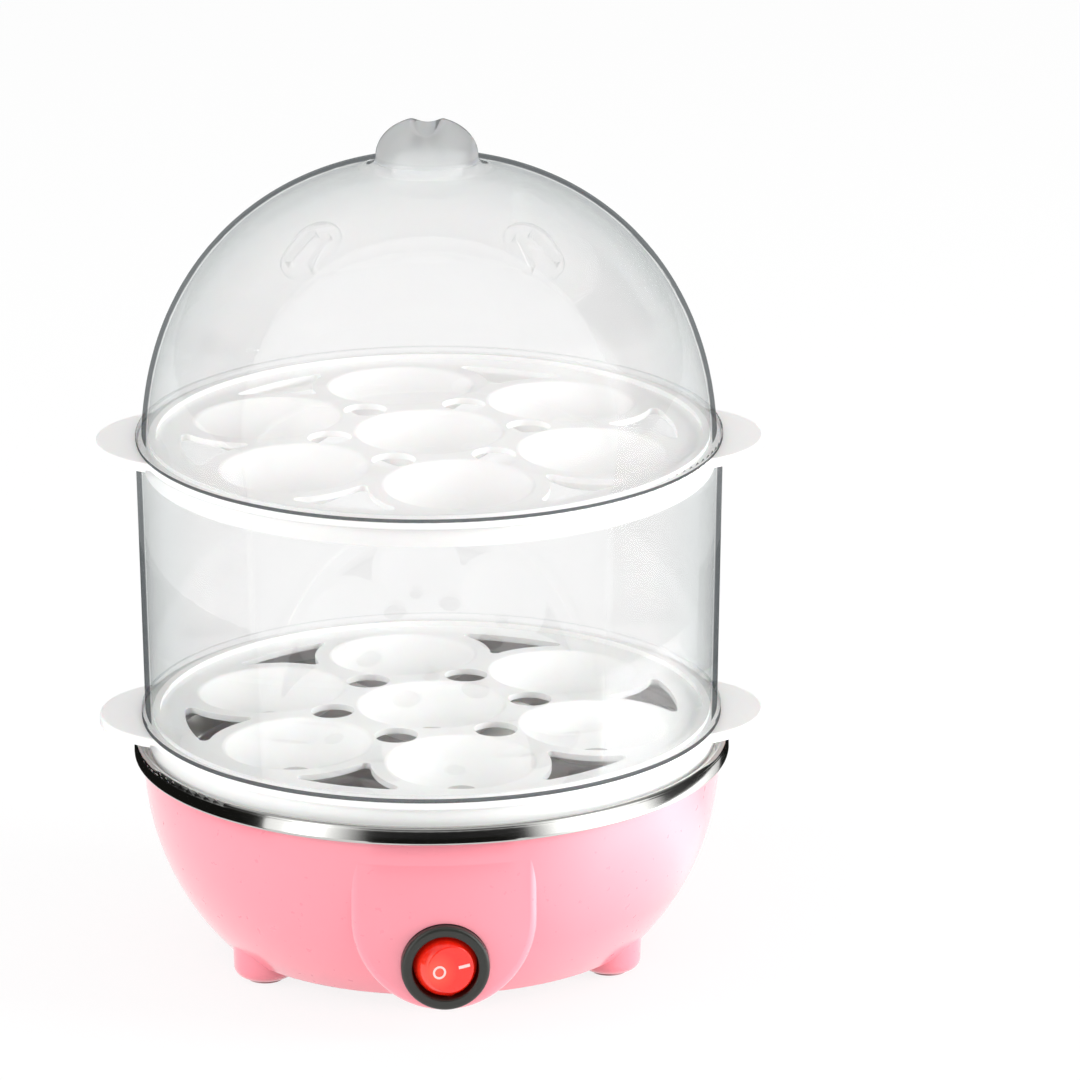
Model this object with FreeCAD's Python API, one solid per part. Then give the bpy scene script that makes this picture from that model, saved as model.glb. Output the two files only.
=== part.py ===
import FreeCAD, Part
import math
import os

# Two-tier egg steamer: a switched heating base, two egg trays, a clear middle cover and a clear lid.
# Millimetres. +Z is up, the feet stand on Z = 0, the vertical axis of the bowl is the Z axis and
# the switch faces -Y. Angles are in degrees, counted from +X towards +Y.

V = FreeCAD.Vector
UP = V(0, 0, 1)
DOWN = V(0, 0, -1)
AXIS_X = V(1, 0, 0)
AXIS_Y = V(0, 1, 0)
ORIGIN = V(0, 0, 0)

# General clearances and the overrun that every cut has past the faces it leaves
overrun = 2.0
thread_relief = 0.05
running_clearance = 0.06
seat_gap = 0.3
lead_gap = 0.1

# Heights that stack up the steamer
foot_rubber_proud = 0.8
base_bottom_z = 5.15
base_rim_z = 53.8
ledge_above_rim = 3.4
lower_land_above_ledge = 7.65
tier_height = 75.4
lid_equator_below_land = 4.05

# Housing of the base, a moulded bowl whose side follows a superellipse
base_foot_radius = 56.55
base_exponent = 2.048
superellipse_points = 15
base_wall = 2.2
base_lip_height = 2.0
base_ledge_inner_radius = 36.0
base_ledge_thickness = 2.2
base_corner_radius = 1.0

# Feet, moulded under the housing
foot_angles_deg = (-150, -30, 90)
foot_centre_distance = 52.3
foot_top_radius = 8.7
foot_bottom_radius = 8.2
foot_top_z = 17.0
foot_edge_radius = 3.2
foot_rubber_radius = 4.6
foot_rubber_thickness = 2.4

# Switch pilaster on the front of the housing
pilaster_proud = -0.25
pilaster_half_width = 24.0
pilaster_centre_z = 31.5
pilaster_edge_radius = 2.6
pilaster_back_inset = 8.35
switch_z = 20.1
switch_turn_deg = 9.0
spot_face_radius = 11.7

# Bottom cover and its screws
cover_radius = 43.2
cover_gap = 0.3
cover_thickness = 2.0
cover_slot_width = 3.0
cover_slot_length = 24.0
cover_slot_pitch = 7.0
cover_slot_count = 5
cover_screw_angles_deg = (30, 150, 270)
cover_screw_centre_distance = 40.0
cover_boss_radius = 3.6
cover_boss_height = 6.6
screw_radius = 1.5
screw_head_radius = 2.8
screw_head_height = 1.6
screw_slot_width = 0.8
screw_slot_depth = 0.8
cover_screw_length = 8.0

# Posts that carry the clamp bracket, and their long screws
post_centre_distance = 50.0
post_radius = 4.0
post_top_z = 29.5

# Steel bowl with its rolled rim
bowl_sheet = 0.6
bowl_rim_radius = 78.5
bowl_wall_depth = 14.6
bowl_rim_past_housing = 2.47
bowl_rim_past_ledge = 6.8
bowl_rim_past_floor = 11.5
bowl_bead_width = 2.3
bowl_bead_above_ledge = 1.6
bowl_corner_radius = 8.6
bowl_shoulder_radius = 1.2
bowl_bead_bend_radius = 0.9
bowl_curl_radius = 0.4
bowl_curl_reach = 1.5

# Rim gasket between the housing's lip and the bowl's ledge
gasket_width = 2.0

# Stud, heater plate, ring element and heat shield under the bowl
stud_radius = 2.5
stud_end_z = 22.6
plate_radius = 42.0
plate_thickness = 2.0
plate_bore_radius = 3.1
element_ring_radius = 30.0
element_tube_radius = 3.2
element_flat = 0.4
element_gap_half_deg = 35.0
element_bend_radius = 6.0
element_end_z = 30.6
bush_radius = 3.0
bush_length = 2.4
pin_radius = 1.1
pin_length = 4.6
tab_width = 6.3
tab_thickness = 0.8
tab_length = 8.0
spacer_radius = 5.0
spacer_bore_radius = 2.75
shield_radius = 46.0
shield_sheet = 0.5
shield_rim_height = 5.0
shield_corner_radius = 2.5
shield_hole_gap = 1.2

# Clamp bracket across the posts, with its washer and nut
bracket_width = 14.0
bracket_sheet = 1.5
bracket_end_past_post = 5.0
washer_radius = 5.4
washer_thickness = 1.0
nut_across_flats = 8.0
nut_height = 4.0

# Disc thermostat under the plate
thermostat_y = 17.0
thermostat_cap_radius = 8.2
thermostat_cap_height = 1.2
thermostat_body_radius = 7.1
thermostat_bottom_z = 29.2
thermostat_clip_sheet = 0.6
thermostat_clip_half_length = 15.0
thermostat_clip_width = 11.0
thermostat_screw_offset = 12.0
thermostat_screw_length = 3.4
thermostat_tab_start = 3.0
thermostat_tab_end = 16.0
thermostat_tab_z = 27.8

# Thermal fuse in its sleeve under the bracket
fuse_radius = 1.9
fuse_length = 11.0
fuse_sleeve_radius = 2.6
fuse_sleeve_inner_radius = 2.1
fuse_inner_x = 15.0
fuse_outer_x = 37.0
fuse_clip_sheet = 0.6
fuse_clip_width = 5.0
fuse_clip_x = 26.0
fuse_clip_foot = 5.6
fuse_clip_screw_inset = 2.8
fuse_y = -2.5
fuse_wire_radius = 0.5
fuse_wire_inset = 3.0
small_screw_radius = 1.2
small_head_radius = 2.2
small_head_height = 1.2

# Earth eyelet on the bracket
eyelet_x = -27.0
eyelet_radius = 3.4
eyelet_thickness = 0.8
eyelet_barrel_radius = 1.5
eyelet_barrel_length = 5.0
eyelet_screw_length = 2.2

# Terminal block on the bottom cover; the ways run along X
block_y = 26.0
block_depth = 10.0
block_height = 9.0
block_way_pitch = 6.0
block_way_count = 4
block_way_z = 12.6
block_insert_radius = 2.1
block_insert_inset = 0.8
block_way_radius = 1.2
block_barrier_thickness = 1.0
block_barrier_height = 2.0
block_screw_radius = 1.6
block_ear_length = 6.4
block_ear_thickness = 2.0
block_screw_inset = 0.6
block_boss_radius = 2.9
block_boss_height = 4.0
block_screw_length = 7.0

# Cord bush in the spout at the back of the housing
spout_z = 19.0
spout_radius = 6.4
spout_proud = 4.03
spout_length = 13.0
gland_body_radius = 4.6
gland_flange_radius = 6.2
gland_flange_thickness = 1.8
gland_lip_radius = 5.4
gland_lip_length = 2.0
gland_bore_radius = 3.2
spout_wall_length = 5.0
gland_edge_radius = 0.7

# Round rocker switch, drawn about its own axis: z counts outwards from the spot face
bezel_radius = 11.5
bezel_thickness = 3.0
bezel_edge_radius = 1.2
bezel_opening_radius = 8.6
bezel_inner_edge_radius = 0.5
barrel_radius = 9.8
barrel_depth = 15.0
barrel_floor = 3.0
barrel_hole_gap = 0.2
catch_depth = 6.0
catch_start = 2.15
catch_reach = 0.9
catch_half_width = 2.5
rocker_pivot_z = -1.4
rocker_radius = 8.3
rocker_face_z = 5.6
rocker_skirt_z = -3.5
rocker_wall = 1.3
rocker_face_edge_radius = 0.35
rocker_rest_deg = 13.0
rocker_trunnion_radius = 1.2
rocker_trunnion_end = 9.3
rocker_post_radius = 2.3
rocker_post_z = -4.2
rocker_bore_radius = 1.4
rocker_bore_top_z = 2.6
mark_proud = 0.12
mark_ring_x = -3.05
mark_ring_radius = 1.75
mark_ring_width = 0.55
mark_bar_x = 3.7
mark_bar_length = 3.0
mark_bar_width = 0.8
plunger_radius = 1.3
plunger_tip_z = -7.5
plunger_top_z = -1.0
spring_inner_radius = 0.9
lamp_radius = 1.2
lamp_length = 6.0
lamp_x = 4.2
contact_top_z = -9.25
contact_thickness = 0.5
contact_half_length = 5.6
contact_width = 3.6
contact_rest_deg = -6.5
contact_button_radius = 1.2
contact_button_height = 0.45
blade_pitch = 5.0
blade_width = 4.8
blade_thickness = 0.8
blade_end_z = -23.0
blade_gap = 0.05
fulcrum_gap = 0.05
load_blade_gap = 0.2
lamp_blade_top_z = -11.5

# Spade receptacles on the blades and tabs
receptacle_side_wall = 0.5
receptacle_height = 2.6
receptacle_length = 8.0
receptacle_barrel_radius = 1.5
receptacle_barrel_length = 4.0

# Leads
lead_radius = 0.95
lead_bend_radius = 4.0
lead_tight_radius = 3.2
lead_wide_radius = 8.0
lead_straight = 7.0
lead_short = 4.5
lead_low_drop = 5.6
fuse_lead_inset = 1.5
switched_lead_x = 31.0
switched_lead_y = -33.0

# Egg trays: a crowned web with seven cups, steam holes, a locating rib, a skirt and two grips
stack_turn_deg = -2.3
tray_pattern_turn_deg = 9.5
tray_inside_rim = 2.3
tray_crown_rise = 1.7
tray_crown_inset = 10.2
tray_gutter_below_land = 0.35
tray_web = 1.6
tray_flange = 1.8
tray_rib_inset = 2.8
tray_rib_width = 1.8
tray_rib_height = 1.1
tray_skirt_inset = 1.4
tray_skirt_wall = 1.6
upper_skirt_length = 5.2
cup_share = 0.2955
cup_depth_share = 0.4102
cup_rim_margin = 0.5
cup_count = 6
cup_edge_radius = 1.4
cup_drain_radius = 4.0
steam_hole_radius = 5.75
steam_hole_centre_share = 0.4
slot_edge_inset = 1.0
slot_waist_overlap = 0.5
slot_corner_radius = 1.4
grip_disc_radius = 26.0
grip_past_tray = 11.3
grip_lip_depth = 2.4
grip_lip_width = 1.4
grip_edge_radius = 0.7

# Clear covers
clear_wall = 1.6
middle_rib_gap = 0.4
middle_skirt_gap = 0.5
middle_flange_past_tray = 0.2
middle_flange_height = 1.9
lid_rib_gap = 0.41
lid_height = 78.18
lid_exponent = 2.173
lid_flange_past_tray = 0.7
lid_flange_height = 1.9
lid_flange_edge_radius = 0.6
lid_turn_deg = -4.5

# Hollow grip knob on the lid, whose side flares out into the lid
knob_half_width = 13.4
knob_half_depth = 10.6
knob_shoulder_above_lid = 1.62
knob_rise = 10.3
knob_exponent = 2.05
knob_wall = 2.0
knob_flare_width = 4.5
knob_flare_drop = 3.0
knob_notch_radius = 3.6
knob_notch_depth = 3.0
knob_notch_edge_radius = 1.6

# Two raised steam vents on the front of the lid
vent_centre_distance = 46.0
vent_half_angle_deg = 38.4
vent_half_width = 7.0
vent_half_length = 9.5
vent_proud = 1.1
vent_edge_radius = 0.8
vent_slot_width = 2.6
vent_slot_length = 11.5
vent_slot_offset = 3.2
vent_slot_splay_deg = 10.0

# Values worked out from the driving ones
bowl_ledge_z = base_rim_z + ledge_above_rim
bowl_rim_top_z = bowl_ledge_z + bowl_bead_above_ledge
bowl_floor_z = bowl_ledge_z - bowl_wall_depth
lower_land_z = bowl_ledge_z + lower_land_above_ledge
upper_land_z = lower_land_z + tier_height
lid_equator_z = upper_land_z - lid_equator_below_land
knob_shoulder_z = lid_equator_z + lid_height + knob_shoulder_above_lid
base_radius = bowl_rim_radius - bowl_rim_past_housing
bowl_bead_inner_radius = bowl_rim_radius - bowl_bead_width
bowl_ledge_inner_radius = bowl_rim_radius - bowl_rim_past_ledge
bowl_foot_radius = bowl_rim_radius - bowl_rim_past_floor
base_narrowing = 1 - (base_foot_radius / base_radius) ** base_exponent
base_depth = (base_rim_z - base_bottom_z) / base_narrowing ** (1 / base_exponent)
pilaster_face_radius = base_radius + pilaster_proud
pilaster_back_y = pilaster_back_inset - base_foot_radius
spout_side_share = 1 - ((base_rim_z - spout_z) / base_depth) ** base_exponent
spout_face_y = base_radius * spout_side_share ** (1 / base_exponent) + spout_proud
spout_start_y = spout_face_y - spout_length
tray_radius = bowl_rim_radius - tray_inside_rim
tray_crown_radius = tray_radius - tray_crown_inset
tray_rib_outer_radius = tray_radius - tray_rib_inset
tray_rib_inner_radius = tray_rib_outer_radius - tray_rib_width
tray_skirt_radius = tray_radius - tray_skirt_inset
cup_radius = tray_crown_radius * cup_share
cup_depth = cup_radius * cup_depth_share
cup_centre_distance = tray_crown_radius - cup_rim_margin - cup_radius
steam_hole_centre_distance = tray_crown_radius * steam_hole_centre_share
slot_outer_radius = tray_crown_radius - slot_edge_inset
slot_cup_distance = cup_centre_distance * math.sin(math.pi / cup_count) + slot_waist_overlap
grip_reach = tray_radius + grip_past_tray
block_width = block_way_count * block_way_pitch
middle_bottom_radius = tray_rib_outer_radius + middle_rib_gap + clear_wall
middle_top_radius = tray_skirt_radius + middle_skirt_gap + clear_wall
middle_flange_radius = tray_radius + middle_flange_past_tray
lid_radius = tray_rib_outer_radius + lid_rib_gap + clear_wall
lid_flange_radius = tray_radius + lid_flange_past_tray
base_inner_radius = base_radius - base_wall
base_inner_depth = base_depth - base_wall
ledge_low_z = base_bottom_z + cover_thickness
ledge_top_z = ledge_low_z + base_ledge_thickness
base_lip_z = base_rim_z + base_lip_height
screw_seat_z = base_bottom_z + screw_head_height + seat_gap
spot_face_y = math.sqrt(pilaster_face_radius ** 2 - spot_face_radius ** 2)
bowl_underside_z = bowl_floor_z - bowl_sheet
ledge_underside_z = bowl_ledge_z - bowl_sheet
block_ear_z = ledge_low_z + block_boss_height
plate_low_z = bowl_underside_z - plate_thickness
element_z = plate_low_z - element_tube_radius + element_flat
element_end_angles_deg = (-90 + element_gap_half_deg, -90 - element_gap_half_deg)
pin_low_z = element_end_z - pin_length
tab_low_z = pin_low_z - tab_length
bracket_top_z = post_top_z + bracket_sheet
bracket_reach = post_centre_distance + bracket_end_past_post
shield_top_z = bracket_top_z + shield_sheet
nut_top_z = post_top_z - washer_thickness
cap_low_z = plate_low_z - thermostat_cap_height
fuse_z = post_top_z - fuse_sleeve_radius - lead_gap
fuse_clip_side = fuse_y + fuse_sleeve_radius + lead_gap + fuse_clip_sheet
fuse_screw_place = V(fuse_clip_x, fuse_clip_side + fuse_clip_screw_inset, 0)
eyelet_barrel_start = eyelet_radius + eyelet_thickness
eyelet_barrel_end = eyelet_barrel_start + eyelet_barrel_length
earth_lead_z = post_top_z - eyelet_barrel_radius
barrel_floor_z = barrel_floor - barrel_depth
middle_top_z = upper_land_z - tray_flange
head_round_share = 0.45
lamp_end_round_share = 0.9
ridge_share = 0.4
cup_mouth_slack_share = 0.05
tube_volume_slack_share = 0.02
smallest_cosine = 1e-9
half_angle_deg = 30


def polar(radius, angle_deg, height):
    """Point at a radius and an angle round the Z axis."""
    angle = math.radians(angle_deg)
    return V(radius * math.cos(angle), radius * math.sin(angle), height)


def cylinder(radius, low_z, high_z, centre=ORIGIN):
    """Upright cylinder between two heights."""
    return Part.makeCylinder(radius, high_z - low_z, V(centre.x, centre.y, low_z), UP)


def tube(outer_radius, inner_radius, low_z, high_z, centre=ORIGIN):
    """Upright tube between two heights."""
    outside = cylinder(outer_radius, low_z, high_z, centre)
    return outside.cut(cylinder(inner_radius, low_z - overrun, high_z + overrun, centre))


def rod(radius, start, end):
    """Cylinder from one point to another."""
    way = end.sub(start)
    return Part.makeCylinder(radius, way.Length, start, way)


def block(low, high):
    """Box between its lowest and highest corners."""
    size = high.sub(low)
    return Part.makeBox(size.x, size.y, size.z, low)


def turned(shape, angle_deg):
    """Copy of a shape turned about the Z axis."""
    copy = shape.copy()
    copy.rotate(ORIGIN, UP, angle_deg)
    return copy


def moved(shape, offset):
    """Copy of a shape moved by an offset."""
    copy = shape.copy()
    copy.translate(offset)
    return copy


def revolve_profile(edges):
    """Solid of revolution about the Z axis from the edges of a closed profile in the XZ plane."""
    face = Part.Face(Part.Wire(Part.__sortEdges__(edges)))
    return face.revolve(ORIGIN, UP, 360)


def polyline(points):
    """Straight edges through points given as (radius, height)."""
    corners = [V(radius, 0, height) for radius, height in points]
    return [Part.LineSegment(a, b).toShape() for a, b in zip(corners, corners[1:])]


def superellipse_edge(radius, rise, exponent, equator_z, stop_height, start_height=0):
    """Curve in the XZ plane from one height above the equator to another; a negative rise hangs down."""
    first = math.asin((start_height / abs(rise)) ** (exponent / 2))
    last = math.asin((stop_height / abs(rise)) ** (exponent / 2))
    curve_points = []
    for step in range(superellipse_points):
        angle = first + (last - first) * step / (superellipse_points - 1)
        cosine = math.cos(angle)
        across = radius * cosine ** (2 / exponent) if cosine > smallest_cosine else 0
        curve_points.append(V(across, 0, equator_z + rise * math.sin(angle) ** (2 / exponent)))
    curve = Part.BSplineCurve()
    curve.interpolate(curve_points)
    return curve.toShape()


def ends_of(edge):
    """The two end points of an edge."""
    return edge.valueAt(edge.FirstParameter), edge.valueAt(edge.LastParameter)


def rounded_path(points, radii):
    """Straight runs through the points, with a tangent arc of the given radius at each inner point."""
    edges = []
    start = points[0]
    for before, corner, after, radius in zip(points, points[1:], points[2:], radii):
        way_in = corner.sub(before).normalize()
        way_out = after.sub(corner).normalize()
        turn = way_in.getAngle(way_out)
        reach = radius * math.tan(turn / 2)
        arc_start = corner.sub(way_in * reach)
        arc_end = corner.add(way_out * reach)
        inward = way_out.sub(way_in).normalize()
        middle = corner.add(inward * (radius / math.cos(turn / 2) - radius))
        edges.append(Part.LineSegment(start, arc_start).toShape())
        edges.append(Part.Arc(arc_start, middle, arc_end).toShape())
        start = arc_end
    edges.append(Part.LineSegment(start, points[-1]).toShape())
    return edges


def swept_tube(edges, radius):
    """Round tube along a chain of tangent edges; the volume is compared with section times length."""
    path = Part.Wire(edges)
    start = edges[0].valueAt(edges[0].FirstParameter)
    heading = edges[0].tangentAt(edges[0].FirstParameter)
    section = Part.Wire([Part.makeCircle(radius, start, heading)])
    solid = path.makePipeShell([section], True, True)
    if solid.Volume < 0:
        solid.reverse()
    expected = math.pi * radius ** 2 * path.Length
    if abs(solid.Volume / expected - 1) > tube_volume_slack_share:
        print("tube volume is off its section times its length:", solid.Volume / expected)
    return solid


def pressed_sheet(edges, thickness):
    """Solid of revolution of a sheet that lies on the left of a chain of edges in the XZ plane."""
    section = Part.Wire(edges).makeOffset2D(thickness, 0, True, True, False)
    return section.revolve(ORIGIN, UP, 360)


def obround(half_length, half_width, thickness, angle_deg=0):
    """Flat slab with round ends, centred on the Z axis, standing on Z = 0, long way along X."""
    reach = half_length - half_width
    corners = [V(-reach, -half_width, 0), V(reach, -half_width, 0),
               V(reach, half_width, 0), V(-reach, half_width, 0)]
    edges = [
        Part.LineSegment(corners[0], corners[1]).toShape(),
        Part.Arc(corners[1], V(half_length, 0, 0), corners[2]).toShape(),
        Part.LineSegment(corners[2], corners[3]).toShape(),
        Part.Arc(corners[3], V(-half_length, 0, 0), corners[0]).toShape(),
    ]
    slab = Part.Face(Part.Wire(edges)).extrude(V(0, 0, thickness))
    return turned(slab, angle_deg)


def edges_where(shape, test):
    """Edges of a shape whose bounding box and edge pass a test."""
    return [edge for edge in shape.Edges if test(edge)]


def is_circle(edge, radius, slack_share=0.01):
    """True for a circular edge of a radius."""
    curve = edge.Curve
    return isinstance(curve, Part.Circle) and abs(curve.Radius / radius - 1) < slack_share


# Base housing

def base_outside():
    """Outer form of the housing: flat bottom, curved side and a straight lip inside the bowl's rim."""
    side = superellipse_edge(base_radius, -base_depth, base_exponent, base_rim_z, base_rim_z - base_bottom_z)
    top, foot = ends_of(side)
    rest = polyline([(foot.x, base_bottom_z), (0, base_bottom_z), (0, base_lip_z),
                     (base_radius, base_lip_z), (top.x, top.z)])
    body = revolve_profile([side] + rest)
    corner = edges_where(body, lambda edge: is_circle(edge, foot.x)
                         and abs(edge.CenterOfMass.z - base_bottom_z) < base_wall)
    return body.makeFillet(base_corner_radius, corner)


def base_inside():
    """Hollow of the housing above the ring ledge."""
    side = superellipse_edge(
        base_inner_radius, -base_inner_depth, base_exponent, base_rim_z, base_rim_z - ledge_top_z)
    top, foot = ends_of(side)
    roof_z = base_lip_z + overrun
    rest = polyline([(foot.x, foot.z), (0, foot.z), (0, roof_z), (base_inner_radius, roof_z), (top.x, top.z)])
    return revolve_profile([side] + rest)


def pilaster_form(half_width, face_radius, back_y, top_z):
    """U-shaped upright block behind the housing's front, rounded below, with a cylindrical front face."""
    low_centre = pilaster_centre_z
    points = [V(-half_width, back_y, top_z), V(-half_width, back_y, low_centre),
              V(0, back_y, low_centre - half_width), V(half_width, back_y, low_centre),
              V(half_width, back_y, top_z)]
    edges = [
        Part.LineSegment(points[0], points[1]).toShape(),
        Part.Arc(points[1], points[2], points[3]).toShape(),
        Part.LineSegment(points[3], points[4]).toShape(),
        Part.LineSegment(points[4], points[0]).toShape(),
    ]
    outline = Part.Face(Part.Wire(edges)).extrude(V(0, -face_radius - overrun - back_y, 0))
    return outline.common(cylinder(face_radius, 0, top_z + overrun))


def foot_form(angle_deg):
    """One foot: a short cone from the floor gap up into the housing's side, with a rounded lower edge."""
    centre = polar(foot_centre_distance, angle_deg, foot_rubber_proud)
    cone = Part.makeCone(foot_bottom_radius, foot_top_radius, foot_top_z - foot_rubber_proud, centre, UP)
    lower_edge = edges_where(
        cone, lambda edge: is_circle(edge, foot_bottom_radius) and edge.BoundBox.ZMax < base_bottom_z)
    return cone.makeFillet(foot_edge_radius, lower_edge)


def make_base_housing():
    """Pink housing with its pilaster, feet, ring ledge, screw bosses, posts and cord spout."""
    front = pilaster_form(pilaster_half_width, pilaster_face_radius, pilaster_back_y, base_rim_z)
    edge_y = -math.sqrt(pilaster_face_radius ** 2 - pilaster_half_width ** 2)
    face_edges = edges_where(front, lambda edge: edge.CenterOfMass.y < edge_y + seat_gap
                             and edge.CenterOfMass.z < base_rim_z - seat_gap)
    front = front.makeFillet(pilaster_edge_radius, face_edges)
    spout = rod(spout_radius, V(0, spout_start_y, spout_z), V(0, spout_face_y, spout_z))
    solid = base_outside().multiFuse([front, spout] + [foot_form(angle) for angle in foot_angles_deg])
    cavity = pilaster_form(pilaster_half_width - base_wall, pilaster_face_radius - base_wall,
                           pilaster_back_y + overrun, base_rim_z - base_wall)
    ledge_hole = cylinder(base_ledge_inner_radius, 0, ledge_top_z + overrun)
    rebate = cylinder(cover_radius + cover_gap, 0, ledge_low_z)
    solid = solid.cut([base_inside(), cavity, ledge_hole, rebate])
    bosses = []
    bores = []
    for angle in cover_screw_angles_deg:
        place = polar(cover_screw_centre_distance, angle, 0)
        bosses.append(cylinder(cover_boss_radius, ledge_low_z, ledge_top_z + cover_boss_height, place))
        bores.append(cylinder(
            screw_radius + thread_relief, 0, base_bottom_z + cover_screw_length + seat_gap, place))
    for side in (1, -1):
        place = V(side * post_centre_distance, 0, 0)
        bosses.append(cylinder(post_radius, ledge_low_z, post_top_z, place))
        bores.append(cylinder(screw_radius + lead_gap, 0, post_top_z + overrun, place))
        bores.append(cylinder(screw_head_radius + cover_gap, 0, screw_seat_z, place))
    solid = solid.multiFuse(bosses)
    hole_out = V(0, -(pilaster_face_radius + overrun), switch_z)
    hole_in = V(0, pilaster_back_y, switch_z)
    bores.append(rod(barrel_radius + barrel_hole_gap, hole_out, hole_in))
    bores.append(rod(spot_face_radius, hole_out, V(0, -spot_face_y, switch_z)))
    bores.append(rod(gland_body_radius + lead_gap, V(0, spout_start_y - overrun, spout_z),
                     V(0, spout_face_y + overrun, spout_z)))
    bores.append(rod(gland_lip_radius + seat_gap, V(0, spout_start_y - overrun, spout_z),
                     V(0, spout_face_y - spout_wall_length, spout_z)))
    for angle in foot_angles_deg:
        centre = polar(foot_centre_distance, angle, 0)
        bores.append(cylinder(foot_rubber_radius + lead_gap, -overrun, foot_rubber_thickness, centre))
    return solid.cut(bores).removeSplitter()


def make_foot_rubbers():
    """Three rubber discs pressed into the feet."""
    return Part.makeCompound([
        cylinder(foot_rubber_radius, 0, foot_rubber_thickness, polar(foot_centre_distance, angle, 0))
        for angle in foot_angles_deg])


# Bottom cover and screws

def make_bottom_cover():
    """Round plate in the housing's rebate, with vent slots, screw holes and the terminal block's bosses."""
    plate = cylinder(cover_radius, base_bottom_z, ledge_low_z)
    bosses = [cylinder(block_boss_radius, ledge_low_z, block_ear_z, place) for place in block_mount_places()]
    cuts = []
    for index in range(cover_slot_count):
        offset = (index - (cover_slot_count - 1) / 2) * cover_slot_pitch
        slot = obround(cover_slot_length / 2, cover_slot_width / 2, cover_thickness + 2 * overrun)
        cuts.append(moved(slot, V(0, offset - cover_slot_pitch, base_bottom_z - overrun)))
    for angle in cover_screw_angles_deg:
        place = polar(cover_screw_centre_distance, angle, 0)
        cuts.append(cylinder(screw_radius + lead_gap, 0, ledge_low_z + overrun, place))
    for place in block_mount_places():
        bore_low_z = block_ear_z + block_ear_thickness - block_screw_length - lead_gap
        cuts.append(cylinder(screw_radius + thread_relief, bore_low_z, block_ear_z + overrun, place))
    return plate.multiFuse(bosses).cut(cuts)


def headed_screw(radius, head_radius, head_height, length, place, way):
    """Slotted pan-head screw whose head's seat is at a place and whose shank runs the given way."""
    way = V(way).normalize()
    shank = Part.makeCylinder(radius, length, place, way)
    head = Part.makeCylinder(head_radius, head_height, place.sub(way * head_height), way)
    crown = edges_where(head, lambda edge: is_circle(edge, head_radius)
                        and (edge.CenterOfMass.sub(place)).Length > head_height / 2)
    head = head.makeFillet(head_height * head_round_share, crown)
    across = AXIS_X if abs(way.x) < abs(way.z) else AXIS_Y
    side = way.cross(across)
    slot_centre = place.sub(way * head_height)
    corner = slot_centre.sub(across * (head_radius + overrun)).sub(side * (screw_slot_width / 2))
    edges = [corner, corner.add(across * (2 * (head_radius + overrun)))]
    edges += [edges[1].add(side * screw_slot_width), corner.add(side * screw_slot_width)]
    outline = Part.makePolygon(edges + [corner])
    depth = min(screw_slot_depth, head_height / 2)
    slot = Part.Face(outline).extrude(way * depth)
    return shank.fuse(head).cut(slot).removeSplitter()


def make_cover_screws():
    """Three screws that hold the bottom cover up against the ring ledge."""
    return Part.makeCompound([
        headed_screw(screw_radius, screw_head_radius, screw_head_height, cover_screw_length,
                     polar(cover_screw_centre_distance, angle, base_bottom_z), UP)
        for angle in cover_screw_angles_deg])


# Bowl, gasket and the heater stack

def make_water_bowl():
    """Pressed steel bowl: floor, slanted wall, ledge for the tray and a rolled rim over the housing's lip."""
    riser_radius = bowl_bead_inner_radius + bowl_sheet
    skirt_radius = bowl_rim_radius - bowl_sheet
    bead_radius = (skirt_radius - riser_radius) / 2
    bead_z = bowl_rim_top_z - bowl_sheet - bead_radius
    curl_z = base_rim_z + bowl_sheet
    dish = rounded_path(
        [V(0, 0, bowl_underside_z), V(bowl_foot_radius, 0, bowl_underside_z),
         V(bowl_ledge_inner_radius, 0, ledge_underside_z), V(riser_radius, 0, ledge_underside_z),
         V(riser_radius, 0, bead_z)],
        [bowl_corner_radius, bowl_shoulder_radius, bowl_bead_bend_radius])
    bead = Part.Arc(V(riser_radius, 0, bead_z), V(riser_radius + bead_radius, 0, bead_z + bead_radius),
                    V(skirt_radius, 0, bead_z)).toShape()
    curl = rounded_path(
        [V(skirt_radius, 0, bead_z), V(skirt_radius, 0, curl_z),
         V(skirt_radius - bowl_curl_reach, 0, curl_z)],
        [bowl_curl_radius])
    return pressed_sheet(dish + [bead] + curl, bowl_sheet)


def make_rim_gasket():
    """Flat silicone ring between the housing's lip and the underside of the bowl's ledge."""
    return tube(base_radius - lead_gap, base_radius - gasket_width - lead_gap, base_lip_z, ledge_underside_z)


def make_bowl_stud():
    """Threaded stud welded under the bowl's floor."""
    return cylinder(stud_radius, stud_end_z, bowl_underside_z)


def thermostat_screw_places():
    """Places of the two screws beside the thermostat."""
    return [V(side * thermostat_screw_offset, thermostat_y, 0) for side in (1, -1)]


def make_heater_plate():
    """Aluminium heat spreader with a centre bore and two tapped holes for the thermostat."""
    plate = cylinder(plate_radius, plate_low_z, bowl_underside_z)
    cuts = [cylinder(plate_bore_radius, plate_low_z - overrun, bowl_underside_z + overrun)]
    for place in thermostat_screw_places():
        cuts.append(cylinder(small_screw_radius + thread_relief, plate_low_z - overrun,
                             bowl_underside_z - seat_gap, place))
    return plate.cut(cuts)


def element_end_places():
    """Places of the element's two downward ends, right end first."""
    bend = element_bend_radius
    places = []
    for side, angle in zip((-1, 1), element_end_angles_deg):
        tangent = polar(1, angle + side * 90, 0)
        places.append(polar(element_ring_radius, angle, 0).add(tangent * bend))
    return places


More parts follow.
